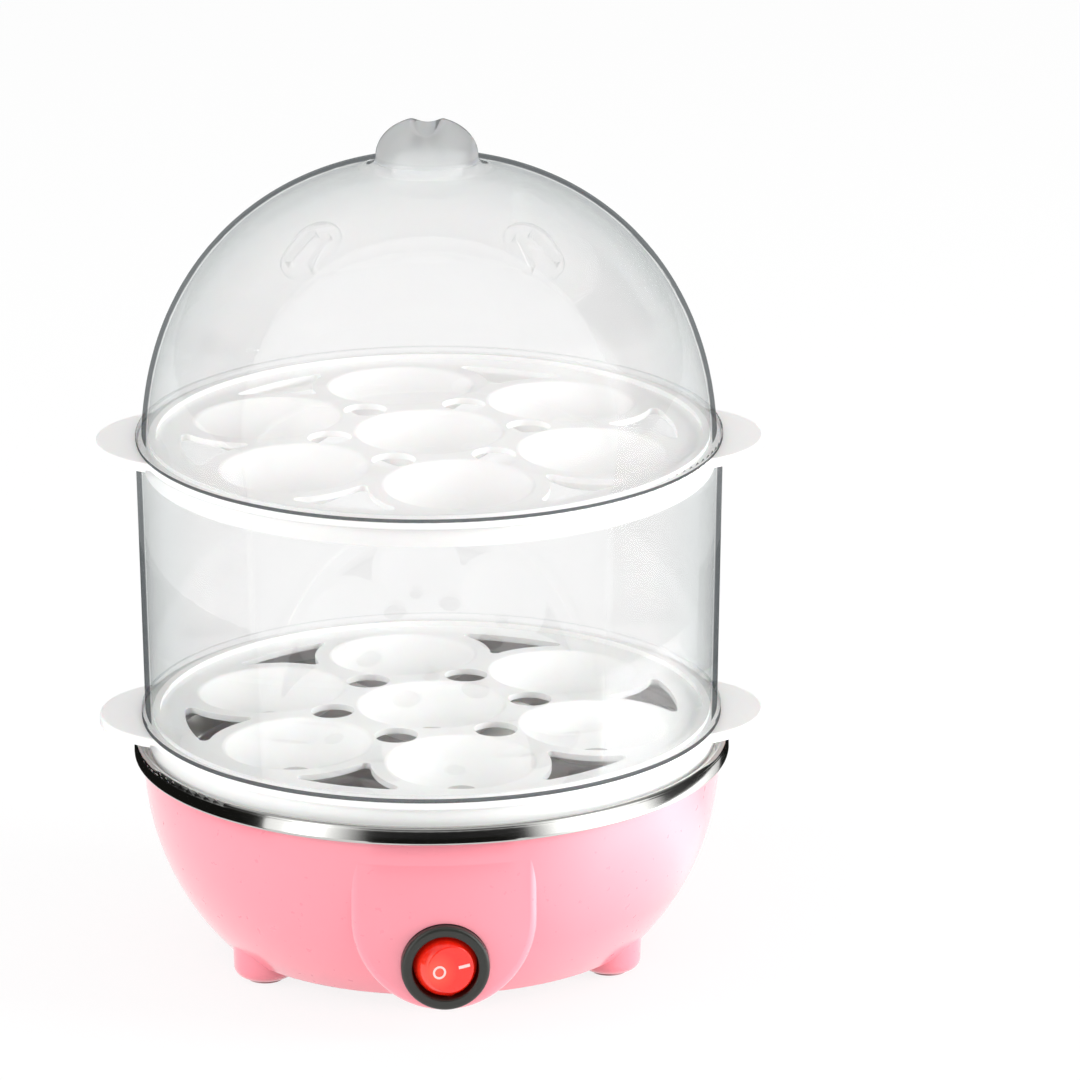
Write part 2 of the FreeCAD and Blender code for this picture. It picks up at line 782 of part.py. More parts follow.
def make_heating_element():
    """Sheathed ring element, pressed flat against the plate, with both ends turned down."""
    ring_points = [polar(element_ring_radius, angle, element_z) for angle in element_end_angles_deg]
    low_z = element_z - element_bend_radius
    quarter = math.radians(45)
    legs = []
    for ring_point, place in zip(ring_points, element_end_places()):
        way = V(place.x - ring_point.x, place.y - ring_point.y, 0).normalize()
        halfway = ring_point.add(way * (element_bend_radius * math.sin(quarter)))
        halfway.z = element_z - element_bend_radius * (1 - math.cos(quarter))
        legs.append((V(place.x, place.y, element_end_z), V(place.x, place.y, low_z), halfway, ring_point))
    first, last = legs
    edges = [
        Part.LineSegment(first[0], first[1]).toShape(),
        Part.Arc(first[1], first[2], first[3]).toShape(),
        Part.Arc(ring_points[0], polar(element_ring_radius, 90, element_z), ring_points[1]).toShape(),
        Part.Arc(last[3], last[2], last[1]).toShape(),
        Part.LineSegment(last[1], last[0]).toShape(),
    ]
    solid = swept_tube(edges, element_tube_radius)
    return solid.cut(cylinder(plate_radius, plate_low_z, bowl_underside_z))


def make_element_bushes():
    """Ceramic bushes on the element's ends."""
    return Part.makeCompound([
        tube(bush_radius, pin_radius + lead_gap, element_end_z - bush_length, element_end_z, place)
        for place in element_end_places()])


def make_element_terminals():
    """Connection pins of the element, each with a flat tab pointing down."""
    pieces = []
    for place in element_end_places():
        pin = cylinder(pin_radius, pin_low_z, element_end_z, place)
        tab = block(V(place.x - tab_width / 2, place.y - tab_thickness / 2, tab_low_z),
                    V(place.x + tab_width / 2, place.y + tab_thickness / 2, pin_low_z))
        pieces.append(pin.fuse(tab).removeSplitter())
    return Part.makeCompound(pieces)


def make_plate_spacer():
    """Sleeve round the stud between the plate and the heat shield."""
    return tube(spacer_radius, spacer_bore_radius, shield_top_z, plate_low_z)


def make_heat_shield():
    """Shallow aluminised dish under the element, with holes for what passes through it."""
    dish = pressed_sheet(rounded_path(
        [V(0, 0, bracket_top_z), V(shield_radius, 0, bracket_top_z),
         V(shield_radius, 0, bracket_top_z + shield_rim_height)],
        [shield_corner_radius]), shield_sheet)
    cuts = []
    holes = [(spacer_bore_radius, ORIGIN), (thermostat_body_radius + shield_hole_gap, V(0, thermostat_y, 0))]
    holes += [(element_tube_radius + shield_hole_gap, place) for place in element_end_places()]
    for radius, place in holes:
        cuts.append(cylinder(radius, bracket_top_z - overrun, shield_top_z + overrun, place))
    return dish.cut(cuts)


# Clamp bracket

def make_clamp_bracket():
    """Steel strip across the two posts that draws the bowl down."""
    strip = moved(obround(bracket_reach, bracket_width / 2, bracket_sheet), V(0, 0, post_top_z))
    cuts = [cylinder(stud_radius + lead_gap, 0, bracket_top_z + overrun)]
    for side in (1, -1):
        place = V(side * post_centre_distance, 0, 0)
        cuts.append(cylinder(screw_radius + thread_relief, 0, bracket_top_z + overrun, place))
    for place in (V(eyelet_x, 0, 0), fuse_screw_place):
        cuts.append(cylinder(small_screw_radius + thread_relief, 0, bracket_top_z + overrun, place))
    return strip.cut(cuts)


def make_clamp_washer():
    """Plain washer on the stud under the bracket."""
    return tube(washer_radius, stud_radius + lead_gap, nut_top_z, post_top_z)


def make_clamp_nut():
    """Hexagon nut on the stud."""
    corner_radius = nut_across_flats / 2 / math.cos(math.radians(half_angle_deg))
    corners = [polar(corner_radius, 2 * half_angle_deg * index, nut_top_z - nut_height) for index in range(7)]
    prism = Part.Face(Part.makePolygon(corners)).extrude(V(0, 0, nut_height))
    return prism.cut(cylinder(stud_radius + thread_relief, 0, nut_top_z + overrun))


def make_bracket_screws():
    """Two long screws from below through the posts into the bracket."""
    return Part.makeCompound([
        headed_screw(screw_radius, screw_head_radius, screw_head_height, bracket_top_z - screw_seat_z,
                     V(side * post_centre_distance, 0, screw_seat_z), UP)
        for side in (1, -1)])


# Thermostat

def make_thermostat_cap():
    """Aluminium cap of the disc thermostat, lying against the plate."""
    return cylinder(thermostat_cap_radius, cap_low_z, plate_low_z, V(0, thermostat_y, 0))


def make_thermostat_body():
    """Round moulded body of the thermostat below its cap."""
    return cylinder(thermostat_body_radius, thermostat_bottom_z, cap_low_z, V(0, thermostat_y, 0))


def make_thermostat_clip():
    """Flat clip that presses the cap's brim to the plate."""
    slab = obround(thermostat_clip_half_length, thermostat_clip_width / 2, thermostat_clip_sheet)
    hub = cylinder(thermostat_cap_radius + thermostat_clip_sheet, 0, thermostat_clip_sheet)
    clip = moved(slab.fuse(hub), V(0, thermostat_y, cap_low_z - thermostat_clip_sheet))
    cuts = [cylinder(thermostat_body_radius + lead_gap, 0, plate_low_z, V(0, thermostat_y, 0))]
    cuts += [cylinder(small_screw_radius + lead_gap, 0, plate_low_z, place)
             for place in thermostat_screw_places()]
    return clip.cut(cuts).removeSplitter()


def make_thermostat_screws():
    """Two small screws that hold the thermostat's clip."""
    seat_z = cap_low_z - thermostat_clip_sheet
    return Part.makeCompound([
        headed_screw(small_screw_radius, small_head_radius, small_head_height,
                     thermostat_screw_length, V(place.x, place.y, seat_z), UP)
        for place in thermostat_screw_places()])


def make_thermostat_tabs():
    """Two flat tabs that leave the thermostat's underside and turn outwards."""
    pieces = []
    for side in (1, -1):
        near = side * thermostat_tab_start
        far = side * thermostat_tab_end
        riser_far = near + side * tab_thickness
        low_y = thermostat_y - tab_width / 2
        high_y = thermostat_y + tab_width / 2
        flat = block(V(min(near, far), low_y, thermostat_tab_z - tab_thickness / 2),
                     V(max(near, far), high_y, thermostat_tab_z + tab_thickness / 2))
        riser = block(V(min(near, riser_far), low_y, thermostat_tab_z - tab_thickness / 2),
                      V(max(near, riser_far), high_y, thermostat_bottom_z))
        pieces.append(flat.fuse(riser).removeSplitter())
    return Part.makeCompound(pieces)


# Thermal fuse under the bracket

def make_fuse_sleeve():
    """Glass-fibre sleeve round the fuse."""
    outside = rod(fuse_sleeve_radius, V(fuse_inner_x, fuse_y, fuse_z), V(fuse_outer_x, fuse_y, fuse_z))
    bore = rod(fuse_sleeve_inner_radius, V(fuse_inner_x - overrun, fuse_y, fuse_z),
               V(fuse_outer_x + overrun, fuse_y, fuse_z))
    return outside.cut(bore)


def make_thermal_fuse():
    """Cylindrical one-shot thermal fuse with a wire end on each side, inside the sleeve."""
    middle_x = (fuse_inner_x + fuse_outer_x) / 2
    body = rod(fuse_radius, V(middle_x - fuse_length / 2, fuse_y, fuse_z),
               V(middle_x + fuse_length / 2, fuse_y, fuse_z))
    wire = rod(fuse_wire_radius, V(fuse_inner_x + fuse_wire_inset, fuse_y, fuse_z),
               V(fuse_outer_x - fuse_wire_inset, fuse_y, fuse_z))
    return body.fuse(wire).removeSplitter()


def make_fuse_clip():
    """Strap round the sleeve with one foot screwed under the bracket."""
    low_x = fuse_clip_x - fuse_clip_width / 2
    high_x = fuse_clip_x + fuse_clip_width / 2
    inner = fuse_sleeve_radius + lead_gap
    outer = inner + fuse_clip_sheet
    sheet_low_z = post_top_z - fuse_clip_sheet
    strap = rod(outer, V(low_x, fuse_y, fuse_z), V(high_x, fuse_y, fuse_z))
    side_wall = block(V(low_x, fuse_y - outer, fuse_z), V(high_x, fuse_y + outer, post_top_z))
    foot = block(V(low_x, fuse_y, sheet_low_z), V(high_x, fuse_y + outer + fuse_clip_foot, post_top_z))
    solid = strap.multiFuse([side_wall, foot])
    bore = rod(inner, V(low_x - overrun, fuse_y, fuse_z), V(high_x + overrun, fuse_y, fuse_z))
    room = block(V(low_x - overrun, fuse_y - inner, fuse_z),
                 V(high_x + overrun, fuse_y + inner, post_top_z + overrun))
    above_z = post_top_z + outer + overrun
    above = block(V(low_x - overrun, fuse_y - outer - overrun, post_top_z),
                  V(high_x + overrun, fuse_y + outer + fuse_clip_foot + overrun, above_z))
    hole = cylinder(small_screw_radius + lead_gap, 0, post_top_z + overrun, fuse_screw_place)
    return solid.cut([bore, room, above, hole]).removeSplitter()


def make_fuse_clip_screw():
    """Small screw through the fuse clip's foot into the bracket."""
    seat = V(fuse_screw_place.x, fuse_screw_place.y, post_top_z - fuse_clip_sheet)
    return headed_screw(small_screw_radius, small_head_radius, small_head_height,
                        bracket_sheet + fuse_clip_sheet, seat, UP)


# Earth eyelet under the bracket

def make_earth_eyelet():
    """Ring terminal under the bracket, with a crimp barrel towards the front."""
    place = V(eyelet_x, 0, 0)
    low_z = post_top_z - eyelet_thickness
    ring = tube(eyelet_radius, small_screw_radius + lead_gap, low_z, post_top_z, place)
    neck = block(V(eyelet_x - eyelet_barrel_radius, -eyelet_barrel_start, low_z),
                 V(eyelet_x + eyelet_barrel_radius, -small_head_radius, post_top_z))
    barrel = rod(eyelet_barrel_radius, V(eyelet_x, -eyelet_barrel_start, earth_lead_z),
                 V(eyelet_x, -eyelet_barrel_end, earth_lead_z))
    bore = rod(lead_radius + thread_relief, V(eyelet_x, -eyelet_barrel_end - overrun, earth_lead_z),
               V(eyelet_x, -eyelet_barrel_start - eyelet_barrel_length / 2, earth_lead_z))
    return ring.multiFuse([neck, barrel]).cut(bore).removeSplitter()


def make_earth_screw():
    """Small screw through the eyelet into the bracket."""
    seat = V(eyelet_x, 0, post_top_z - eyelet_thickness)
    return headed_screw(small_screw_radius, small_head_radius, small_head_height,
                        eyelet_screw_length, seat, UP)


# Terminal block on the bottom cover

def block_way_x(index):
    """Place along X of one way of the terminal block, counted from -X."""
    return (index - (block_way_count - 1) / 2) * block_way_pitch


def make_terminal_block():
    """Four-way terminal block with barriers, insert bores, screw wells and a mounting ear at each end."""
    low = V(-block_width / 2, block_y - block_depth / 2, ledge_low_z)
    high = V(block_width / 2, block_y + block_depth / 2, ledge_low_z + block_height)
    pieces = []
    for index in range(block_way_count + 1):
        barrier_x = block_way_x(index) - block_way_pitch / 2
        low_x = barrier_x - block_barrier_thickness / 2
        high_x = barrier_x + block_barrier_thickness / 2
        pieces.append(block(V(low_x, low.y, high.z - overrun),
                            V(high_x, high.y, high.z + block_barrier_height)))
    ears = obround(block_width / 2 + block_ear_length, block_depth / 2, block_ear_thickness)
    pieces.append(moved(ears, V(0, block_y, block_ear_z)))
    cuts = []
    for index in range(block_way_count):
        way_x = block_way_x(index)
        cuts.append(rod(block_insert_radius + lead_gap, V(way_x, low.y - overrun, block_way_z),
                        V(way_x, high.y + overrun, block_way_z)))
        cuts.append(cylinder(block_screw_radius + lead_gap, block_way_z, high.z + overrun,
                             V(way_x, block_y, 0)))
    for place in block_mount_places():
        cuts.append(cylinder(screw_radius + lead_gap, block_ear_z - overrun, high.z, place))
    return block(low, high).multiFuse(pieces).cut(cuts).removeSplitter()


def make_block_inserts():
    """Brass tubes in the terminal block's ways."""
    half_length = block_depth / 2 - block_insert_inset
    well = block_insert_radius + overrun
    pieces = []
    for index in range(block_way_count):
        way_x = block_way_x(index)
        start = V(way_x, block_y - half_length, block_way_z)
        end = V(way_x, block_y + half_length, block_way_z)
        insert = rod(block_insert_radius, start, end)
        bore = rod(block_way_radius, V(way_x, start.y - overrun, block_way_z),
                   V(way_x, end.y + overrun, block_way_z))
        screw_hole = cylinder(block_screw_radius + thread_relief, block_way_z, block_way_z + well,
                              V(way_x, block_y, 0))
        pieces.append(insert.cut([bore, screw_hole]))
    return Part.makeCompound(pieces)


def block_mount_places():
    """Places of the two screws that hold the terminal block."""
    reach = block_width / 2 + block_ear_length / 2
    return [V(side * reach, block_y, 0) for side in (1, -1)]


def make_block_clamp_screws():
    """One slotted clamping screw in each way of the terminal block."""
    top_z = ledge_low_z + block_height - block_screw_inset
    low_z = block_way_z + lead_radius + thread_relief
    pieces = []
    for index in range(block_way_count):
        place = V(block_way_x(index), block_y, 0)
        half_slot = V(screw_slot_width / 2, block_screw_radius + overrun, 0)
        slot = block(place.sub(half_slot).add(V(0, 0, top_z - screw_slot_depth)),
                     place.add(half_slot).add(V(0, 0, top_z + overrun)))
        pieces.append(cylinder(block_screw_radius, low_z, top_z, place).cut(slot))
    return Part.makeCompound(pieces)


def make_block_mount_screws():
    """Two screws through the terminal block's ears into the bottom cover's bosses."""
    seat_z = block_ear_z + block_ear_thickness
    return Part.makeCompound([
        headed_screw(screw_radius, screw_head_radius, screw_head_height, block_screw_length,
                     V(place.x, place.y, seat_z), DOWN)
        for place in block_mount_places()])


# Cord bush

def make_cord_bush():
    """Soft bush in the cord spout, with an outer flange, an inner lip and an open bore."""
    wall_y = spout_face_y - spout_wall_length
    end_y = wall_y - gland_lip_length
    flange_y = spout_face_y + gland_flange_thickness
    body = rod(gland_body_radius, V(0, end_y, spout_z), V(0, flange_y, spout_z))
    flange = rod(gland_flange_radius, V(0, spout_face_y, spout_z), V(0, flange_y, spout_z))
    lip = rod(gland_lip_radius, V(0, end_y, spout_z), V(0, wall_y, spout_z))
    solid = body.multiFuse([flange, lip]).removeSplitter()
    rim = edges_where(solid, lambda edge: is_circle(edge, gland_flange_radius)
                      and edge.CenterOfMass.y > spout_face_y + gland_flange_thickness / 2)
    solid = solid.makeFillet(gland_edge_radius, rim)
    bore = rod(gland_bore_radius, V(0, end_y - overrun, spout_z), V(0, flange_y + overrun, spout_z))
    return solid.cut(bore)


# Rocker switch, drawn about its own axis and then set in the front of the housing

def set_in_front(shape):
    """Place a switch piece: its axis points out of the front and its pin leans by the switch's turn."""
    angle = math.radians(switch_turn_deg)
    across = V(math.cos(angle), 0, math.sin(angle))
    along = V(-math.sin(angle), 0, math.cos(angle))
    matrix = FreeCAD.Matrix(across.x, along.x, 0, 0, across.y, along.y, -1, -spot_face_y,
                            across.z, along.z, 0, switch_z)
    copy = shape.copy()
    copy.Placement = FreeCAD.Placement(matrix).multiply(copy.Placement)
    return copy


def blade_slots():
    """Slots through the barrel's floor for the three blades."""
    half_x = blade_thickness / 2 + blade_gap
    half_y = blade_width / 2 + blade_gap
    return [block(V(x - half_x, -half_y, -barrel_depth - overrun),
                  V(x + half_x, half_y, barrel_floor_z + overrun))
            for x in (-blade_pitch, 0, blade_pitch)]


def make_switch_housing():
    """Black bezel and barrel with snap catches, trunnion holes and blade slots."""
    bezel = cylinder(bezel_radius, 0, bezel_thickness)
    rim = edges_where(bezel, lambda edge: is_circle(edge, bezel_radius)
                      and edge.CenterOfMass.z > bezel_thickness / 2)
    bezel = bezel.makeFillet(bezel_edge_radius, rim)
    barrel = cylinder(barrel_radius, -barrel_depth, bezel_thickness / 2)
    catches = []
    for side in (1, -1):
        reach = barrel_radius + catch_reach
        catch_end = -catch_start - catch_depth
        points = [V(0, 0, -catch_start), V(side * reach, 0, -catch_start),
                  V(side * barrel_radius, 0, catch_end), V(0, 0, catch_end)]
        wedge = Part.Face(Part.makePolygon(points + [points[0]])).extrude(V(0, 2 * catch_half_width, 0))
        catches.append(moved(wedge, V(0, -catch_half_width, 0)))
    solid = bezel.multiFuse([barrel] + catches)
    pocket = cylinder(bezel_opening_radius, barrel_floor_z, bezel_thickness + overrun)
    trunnion_hole = rod(rocker_trunnion_radius + running_clearance,
                        V(0, -barrel_radius - overrun, rocker_pivot_z),
                        V(0, barrel_radius + overrun, rocker_pivot_z))
    solid = solid.cut([pocket, trunnion_hole] + blade_slots()).removeSplitter()
    mouth = edges_where(solid, lambda edge: is_circle(edge, bezel_opening_radius)
                        and edge.CenterOfMass.z > bezel_thickness / 2)
    return set_in_front(solid.makeFillet(bezel_inner_edge_radius, mouth))


def tilt_rocker(shape):
    """Turn a rocker piece, drawn about its pivot, to its rest tilt and put it on the switch's pivot."""
    copy = shape.copy()
    copy.rotate(ORIGIN, AXIS_Y, rocker_rest_deg)
    copy.translate(V(0, 0, rocker_pivot_z))
    return set_in_front(copy)


def make_switch_rocker():
    """Hollow see-through rocker: a ball cut by its face, with a centre post and two trunnions."""
    wide = rocker_radius + overrun
    keep = block(V(-wide, -wide, rocker_skirt_z), V(wide, wide, rocker_face_z))
    ball = Part.makeSphere(rocker_radius).common(keep)
    face_edge = edges_where(ball, lambda edge: isinstance(edge.Curve, Part.Circle)
                            and edge.CenterOfMass.z > rocker_face_z / 2)
    ball = ball.makeFillet(rocker_face_edge_radius, face_edge)
    inside_ball = Part.makeSphere(rocker_radius - rocker_wall)
    inside = inside_ball.common(block(V(-wide, -wide, rocker_skirt_z - overrun),
                                      V(wide, wide, rocker_face_z - rocker_wall)))
    inner_reach = rocker_radius - rocker_wall / 2
    trunnions = [rod(rocker_trunnion_radius, V(0, side * inner_reach, 0), V(0, side * rocker_trunnion_end, 0))
                 for side in (1, -1)]
    post = cylinder(rocker_post_radius, rocker_post_z, rocker_face_z - rocker_wall / 2)
    solid = ball.cut(inside).multiFuse([post] + trunnions)
    bore = cylinder(rocker_bore_radius, rocker_post_z - overrun, rocker_bore_top_z)
    return tilt_rocker(solid.cut(bore).removeSplitter())


def make_rocker_marks():
    """Raised ring and bar on the rocker's face."""
    top_z = rocker_face_z + mark_proud
    ring = tube(mark_ring_radius, mark_ring_radius - mark_ring_width, rocker_face_z, top_z,
                V(mark_ring_x, 0, 0))
    bar = block(V(mark_bar_x - mark_bar_length / 2, -mark_bar_width / 2, rocker_face_z),
                V(mark_bar_x + mark_bar_length / 2, mark_bar_width / 2, top_z))
    return tilt_rocker(Part.makeCompound([ring, bar]))


def make_switch_plunger():
    """Round-tipped pin in the rocker's post."""
    pin = cylinder(plunger_radius, plunger_tip_z + plunger_radius, plunger_top_z)
    tip = Part.makeSphere(plunger_radius, V(0, 0, plunger_tip_z + plunger_radius))
    return tilt_rocker(pin.fuse(tip).removeSplitter())


def make_plunger_spring():
    """Spring behind the plunger, drawn as a sleeve."""
    return tilt_rocker(tube(plunger_radius, spring_inner_radius, plunger_top_z, rocker_bore_top_z))


def make_neon_lamp():
    """Small glass lamp under the rocker's face, lying along the trunnions."""
    centre_z = rocker_face_z - rocker_wall - lamp_radius - lead_gap
    lamp = rod(lamp_radius, V(lamp_x, -lamp_length / 2, centre_z), V(lamp_x, lamp_length / 2, centre_z))
    return tilt_rocker(lamp.makeFillet(lamp_radius * lamp_end_round_share, edges_where(
        lamp, lambda edge: is_circle(edge, lamp_radius))))


def make_switch_contact():
    """Tilting contact strip on the middle blade, with a contact button under its closed end."""
    low_z = contact_top_z - contact_thickness
    strip = block(V(-contact_half_length, -contact_width / 2, low_z),
                  V(contact_half_length, contact_width / 2, contact_top_z))
    button = cylinder(contact_button_radius, low_z - contact_button_height, low_z, V(-blade_pitch, 0, 0))
    solid = strip.fuse(button).removeSplitter()
    solid.rotate(V(0, 0, low_z), AXIS_Y, contact_rest_deg)
    return set_in_front(solid)


def load_blade_top():
    """Height of the load blade's top, just under the tilted contact button."""
    angle = math.radians(-contact_rest_deg)
    reach = blade_pitch + contact_button_radius
    drop = reach * math.sin(angle) + contact_button_height * math.cos(angle)
    return contact_top_z - contact_thickness - drop - load_blade_gap


def make_switch_terminals():
    """Load blade, common blade with the contact's fulcrum, and lamp blade."""
    fulcrum_z = contact_top_z - contact_thickness - fulcrum_gap
    pieces = []
    for x, top_z in ((-blade_pitch, load_blade_top()), (0, fulcrum_z), (blade_pitch, lamp_blade_top_z)):
        blade = block(V(x - blade_thickness / 2, -blade_width / 2, blade_end_z),
                      V(x + blade_thickness / 2, blade_width / 2, top_z))
        if x == 0:
            ridge = edges_where(blade, lambda edge: abs(edge.CenterOfMass.z - top_z) < thread_relief
                                and abs(edge.CenterOfMass.x) > thread_relief)
            blade = blade.makeChamfer(blade_thickness * ridge_share, ridge)
        pieces.append(blade)
    return set_in_front(Part.makeCompound(pieces))


# Spade receptacles

def receptacle_form(blade_width_inside):
    """Receptacle that slides onto a blade: mouth on Z = 0, blade along +Z, crimp barrel at the far end."""
    slot_half = blade_width_inside / 2 + lead_gap
    half_width = slot_half + receptacle_side_wall
    body = block(V(-half_width, -receptacle_height / 2, 0),
                 V(half_width, receptacle_height / 2, receptacle_length))
    slot = block(V(-slot_half, -tab_thickness / 2 - lead_gap, -overrun),
                 V(slot_half, tab_thickness / 2 + lead_gap, receptacle_length - tab_thickness))
    relief = block(V(-lead_radius, -receptacle_height, -overrun),
                   V(lead_radius, -tab_thickness, receptacle_length - tab_thickness))
    barrel = cylinder(receptacle_barrel_radius, receptacle_length - tab_thickness,
                      receptacle_length + receptacle_barrel_length)
    bore_low_z = receptacle_length + receptacle_barrel_length / 2
    bore = cylinder(lead_radius + thread_relief, bore_low_z, bore_low_z + receptacle_barrel_length)
    return body.cut(relief).fuse(barrel).cut([slot, bore]).removeSplitter()


def place_receptacle(mouth, heading, wide_way, width):
    """A receptacle with its mouth at a point, running in a heading, with its width along another way."""
    across = V(wide_way).normalize()
    out = V(heading).normalize()
    side = out.cross(across)
    matrix = FreeCAD.Matrix(across.x, side.x, out.x, mouth.x, across.y, side.y, out.y, mouth.y,
                            across.z, side.z, out.z, mouth.z)
    shape = receptacle_form(width)
    shape.Placement = FreeCAD.Placement(matrix)
    return shape


def switch_point(x, z):
    """Point on the switch's own X and Z axes, in the part's frame."""
    angle = math.radians(switch_turn_deg)
    return V(x * math.cos(angle), -spot_face_y - z, switch_z + x * math.sin(angle))


def receptacle_seats():
    """Mouth, heading, width way and blade width of each receptacle: switch, thermostat, element."""
    angle = math.radians(switch_turn_deg)
    pin_way = V(-math.sin(angle), 0, math.cos(angle))
    depth = receptacle_length - tab_thickness - lead_gap
    seats = []
    for x in (-blade_pitch, 0, blade_pitch):
        seats.append((switch_point(x, blade_end_z + depth), AXIS_Y, pin_way, blade_width))
    for side in (-1, 1):
        mouth = V(side * (thermostat_tab_end - depth), thermostat_y, thermostat_tab_z)
        seats.append((mouth, V(side, 0, 0), AXIS_Y, tab_width))
    for place in element_end_places():
        seats.append((V(place.x, place.y, tab_low_z + depth), DOWN, AXIS_X, tab_width))
    return seats


def make_spade_receptacles():
    """Seven crimped receptacles."""
    return Part.makeCompound([place_receptacle(*seat) for seat in receptacle_seats()])


def receptacle_exit(index):
    """Where the lead enters a receptacle's barrel, and the heading out of it."""
    mouth, heading = receptacle_seats()[index][:2]
    out = V(heading).normalize()
    return mouth.add(out * (receptacle_length + receptacle_barrel_length / 2)), out


# Leads inside the base

def make_lead(points, radii):
    """One insulated lead along straight runs and tangent arcs."""
    return swept_tube(rounded_path(points, radii), lead_radius)


def block_entry(index):
    """Start of a lead inside the terminal block and the point straight in front of it."""
    inside = V(block_way_x(index), block_y - block_depth / 4, block_way_z)
    front = V(block_way_x(index), block_y - block_depth / 2 - lead_straight, block_way_z)
    return inside, front


def lead_from_switch(blade_index, way_index):
    """Lead from a switch blade under the bracket to the terminal block."""
    start, out = receptacle_exit(blade_index)
    inside, front = block_entry(way_index)
    points = [start, start.add(out * lead_straight), front, inside]
    return make_lead(points, [lead_wide_radius, lead_wide_radius])


def make_live_lead():
    """Lead from the terminal block to the switch's middle blade."""
    return lead_from_switch(1, 2)


def make_lamp_lead():
    """Lead from the terminal block to the switch's lamp blade."""
    return lead_from_switch(2, 3)


def make_switched_lead():
    """Lead from the switch's load blade round the -X side to the thermostat."""
    start, out = receptacle_exit(0)
    end = receptacle_exit(3)[0]
    corner = V(end.x - lead_straight, thermostat_y, end.z)
    points = [start, start.add(out * lead_short), V(-switched_lead_x, switched_lead_y, switch_z),
              V(-switched_lead_x, -lead_straight, (switch_z + end.z) / 2), corner, end]
    return make_lead(points, [lead_bend_radius] * 4)


def make_fuse_feed_lead():
    """Lead from the thermostat round to the outer end of the thermal fuse."""
    start = receptacle_exit(4)[0]
    end = V(fuse_outer_x - fuse_lead_inset, fuse_y, fuse_z)
    turn_x = fuse_outer_x + lead_straight
    points = [start, V(turn_x, thermostat_y, start.z), V(turn_x, fuse_y, fuse_z), end]
    return make_lead(points, [lead_bend_radius, lead_bend_radius])


def make_element_feed_lead():
    """Lead from the inner end of the thermal fuse to the element's right end."""
    end = receptacle_exit(5)[0]
    start = V(fuse_inner_x + fuse_lead_inset, fuse_y, fuse_z)
    turn = V(fuse_inner_x - lead_short, fuse_y, fuse_z)
    low_z = end.z - lead_low_drop
    points = [start, turn, V(turn.x, (fuse_y + end.y) / 2, low_z), V(end.x, end.y, low_z), end]
    return make_lead(points, [lead_tight_radius, lead_bend_radius, lead_tight_radius])


def make_neutral_lead():
    """Lead from the element's left end to the terminal block."""
    start = receptacle_exit(6)[0]
    inside, front = block_entry(1)
    low = V(start.x, start.y, start.z - lead_low_drop)
    points = [start, low, V(start.x, -lead_straight, low.z), front, inside]
    return make_lead(points, [lead_tight_radius, lead_bend_radius, lead_bend_radius])


def make_earth_lead():
    """Lead from the eyelet on the bracket to the terminal block."""
    start = V(eyelet_x, -eyelet_barrel_start - eyelet_barrel_length / 2 - lead_gap, earth_lead_z)
    inside, front = block_entry(0)
    low_z = block_way_z
    points = [start, V(eyelet_x, -eyelet_barrel_end - lead_short, earth_lead_z),
              V(eyelet_x + lead_straight, -eyelet_barrel_end - lead_short, low_z), front, inside]
    return make_lead(points, [lead_tight_radius, lead_tight_radius, lead_bend_radius])


# Egg trays

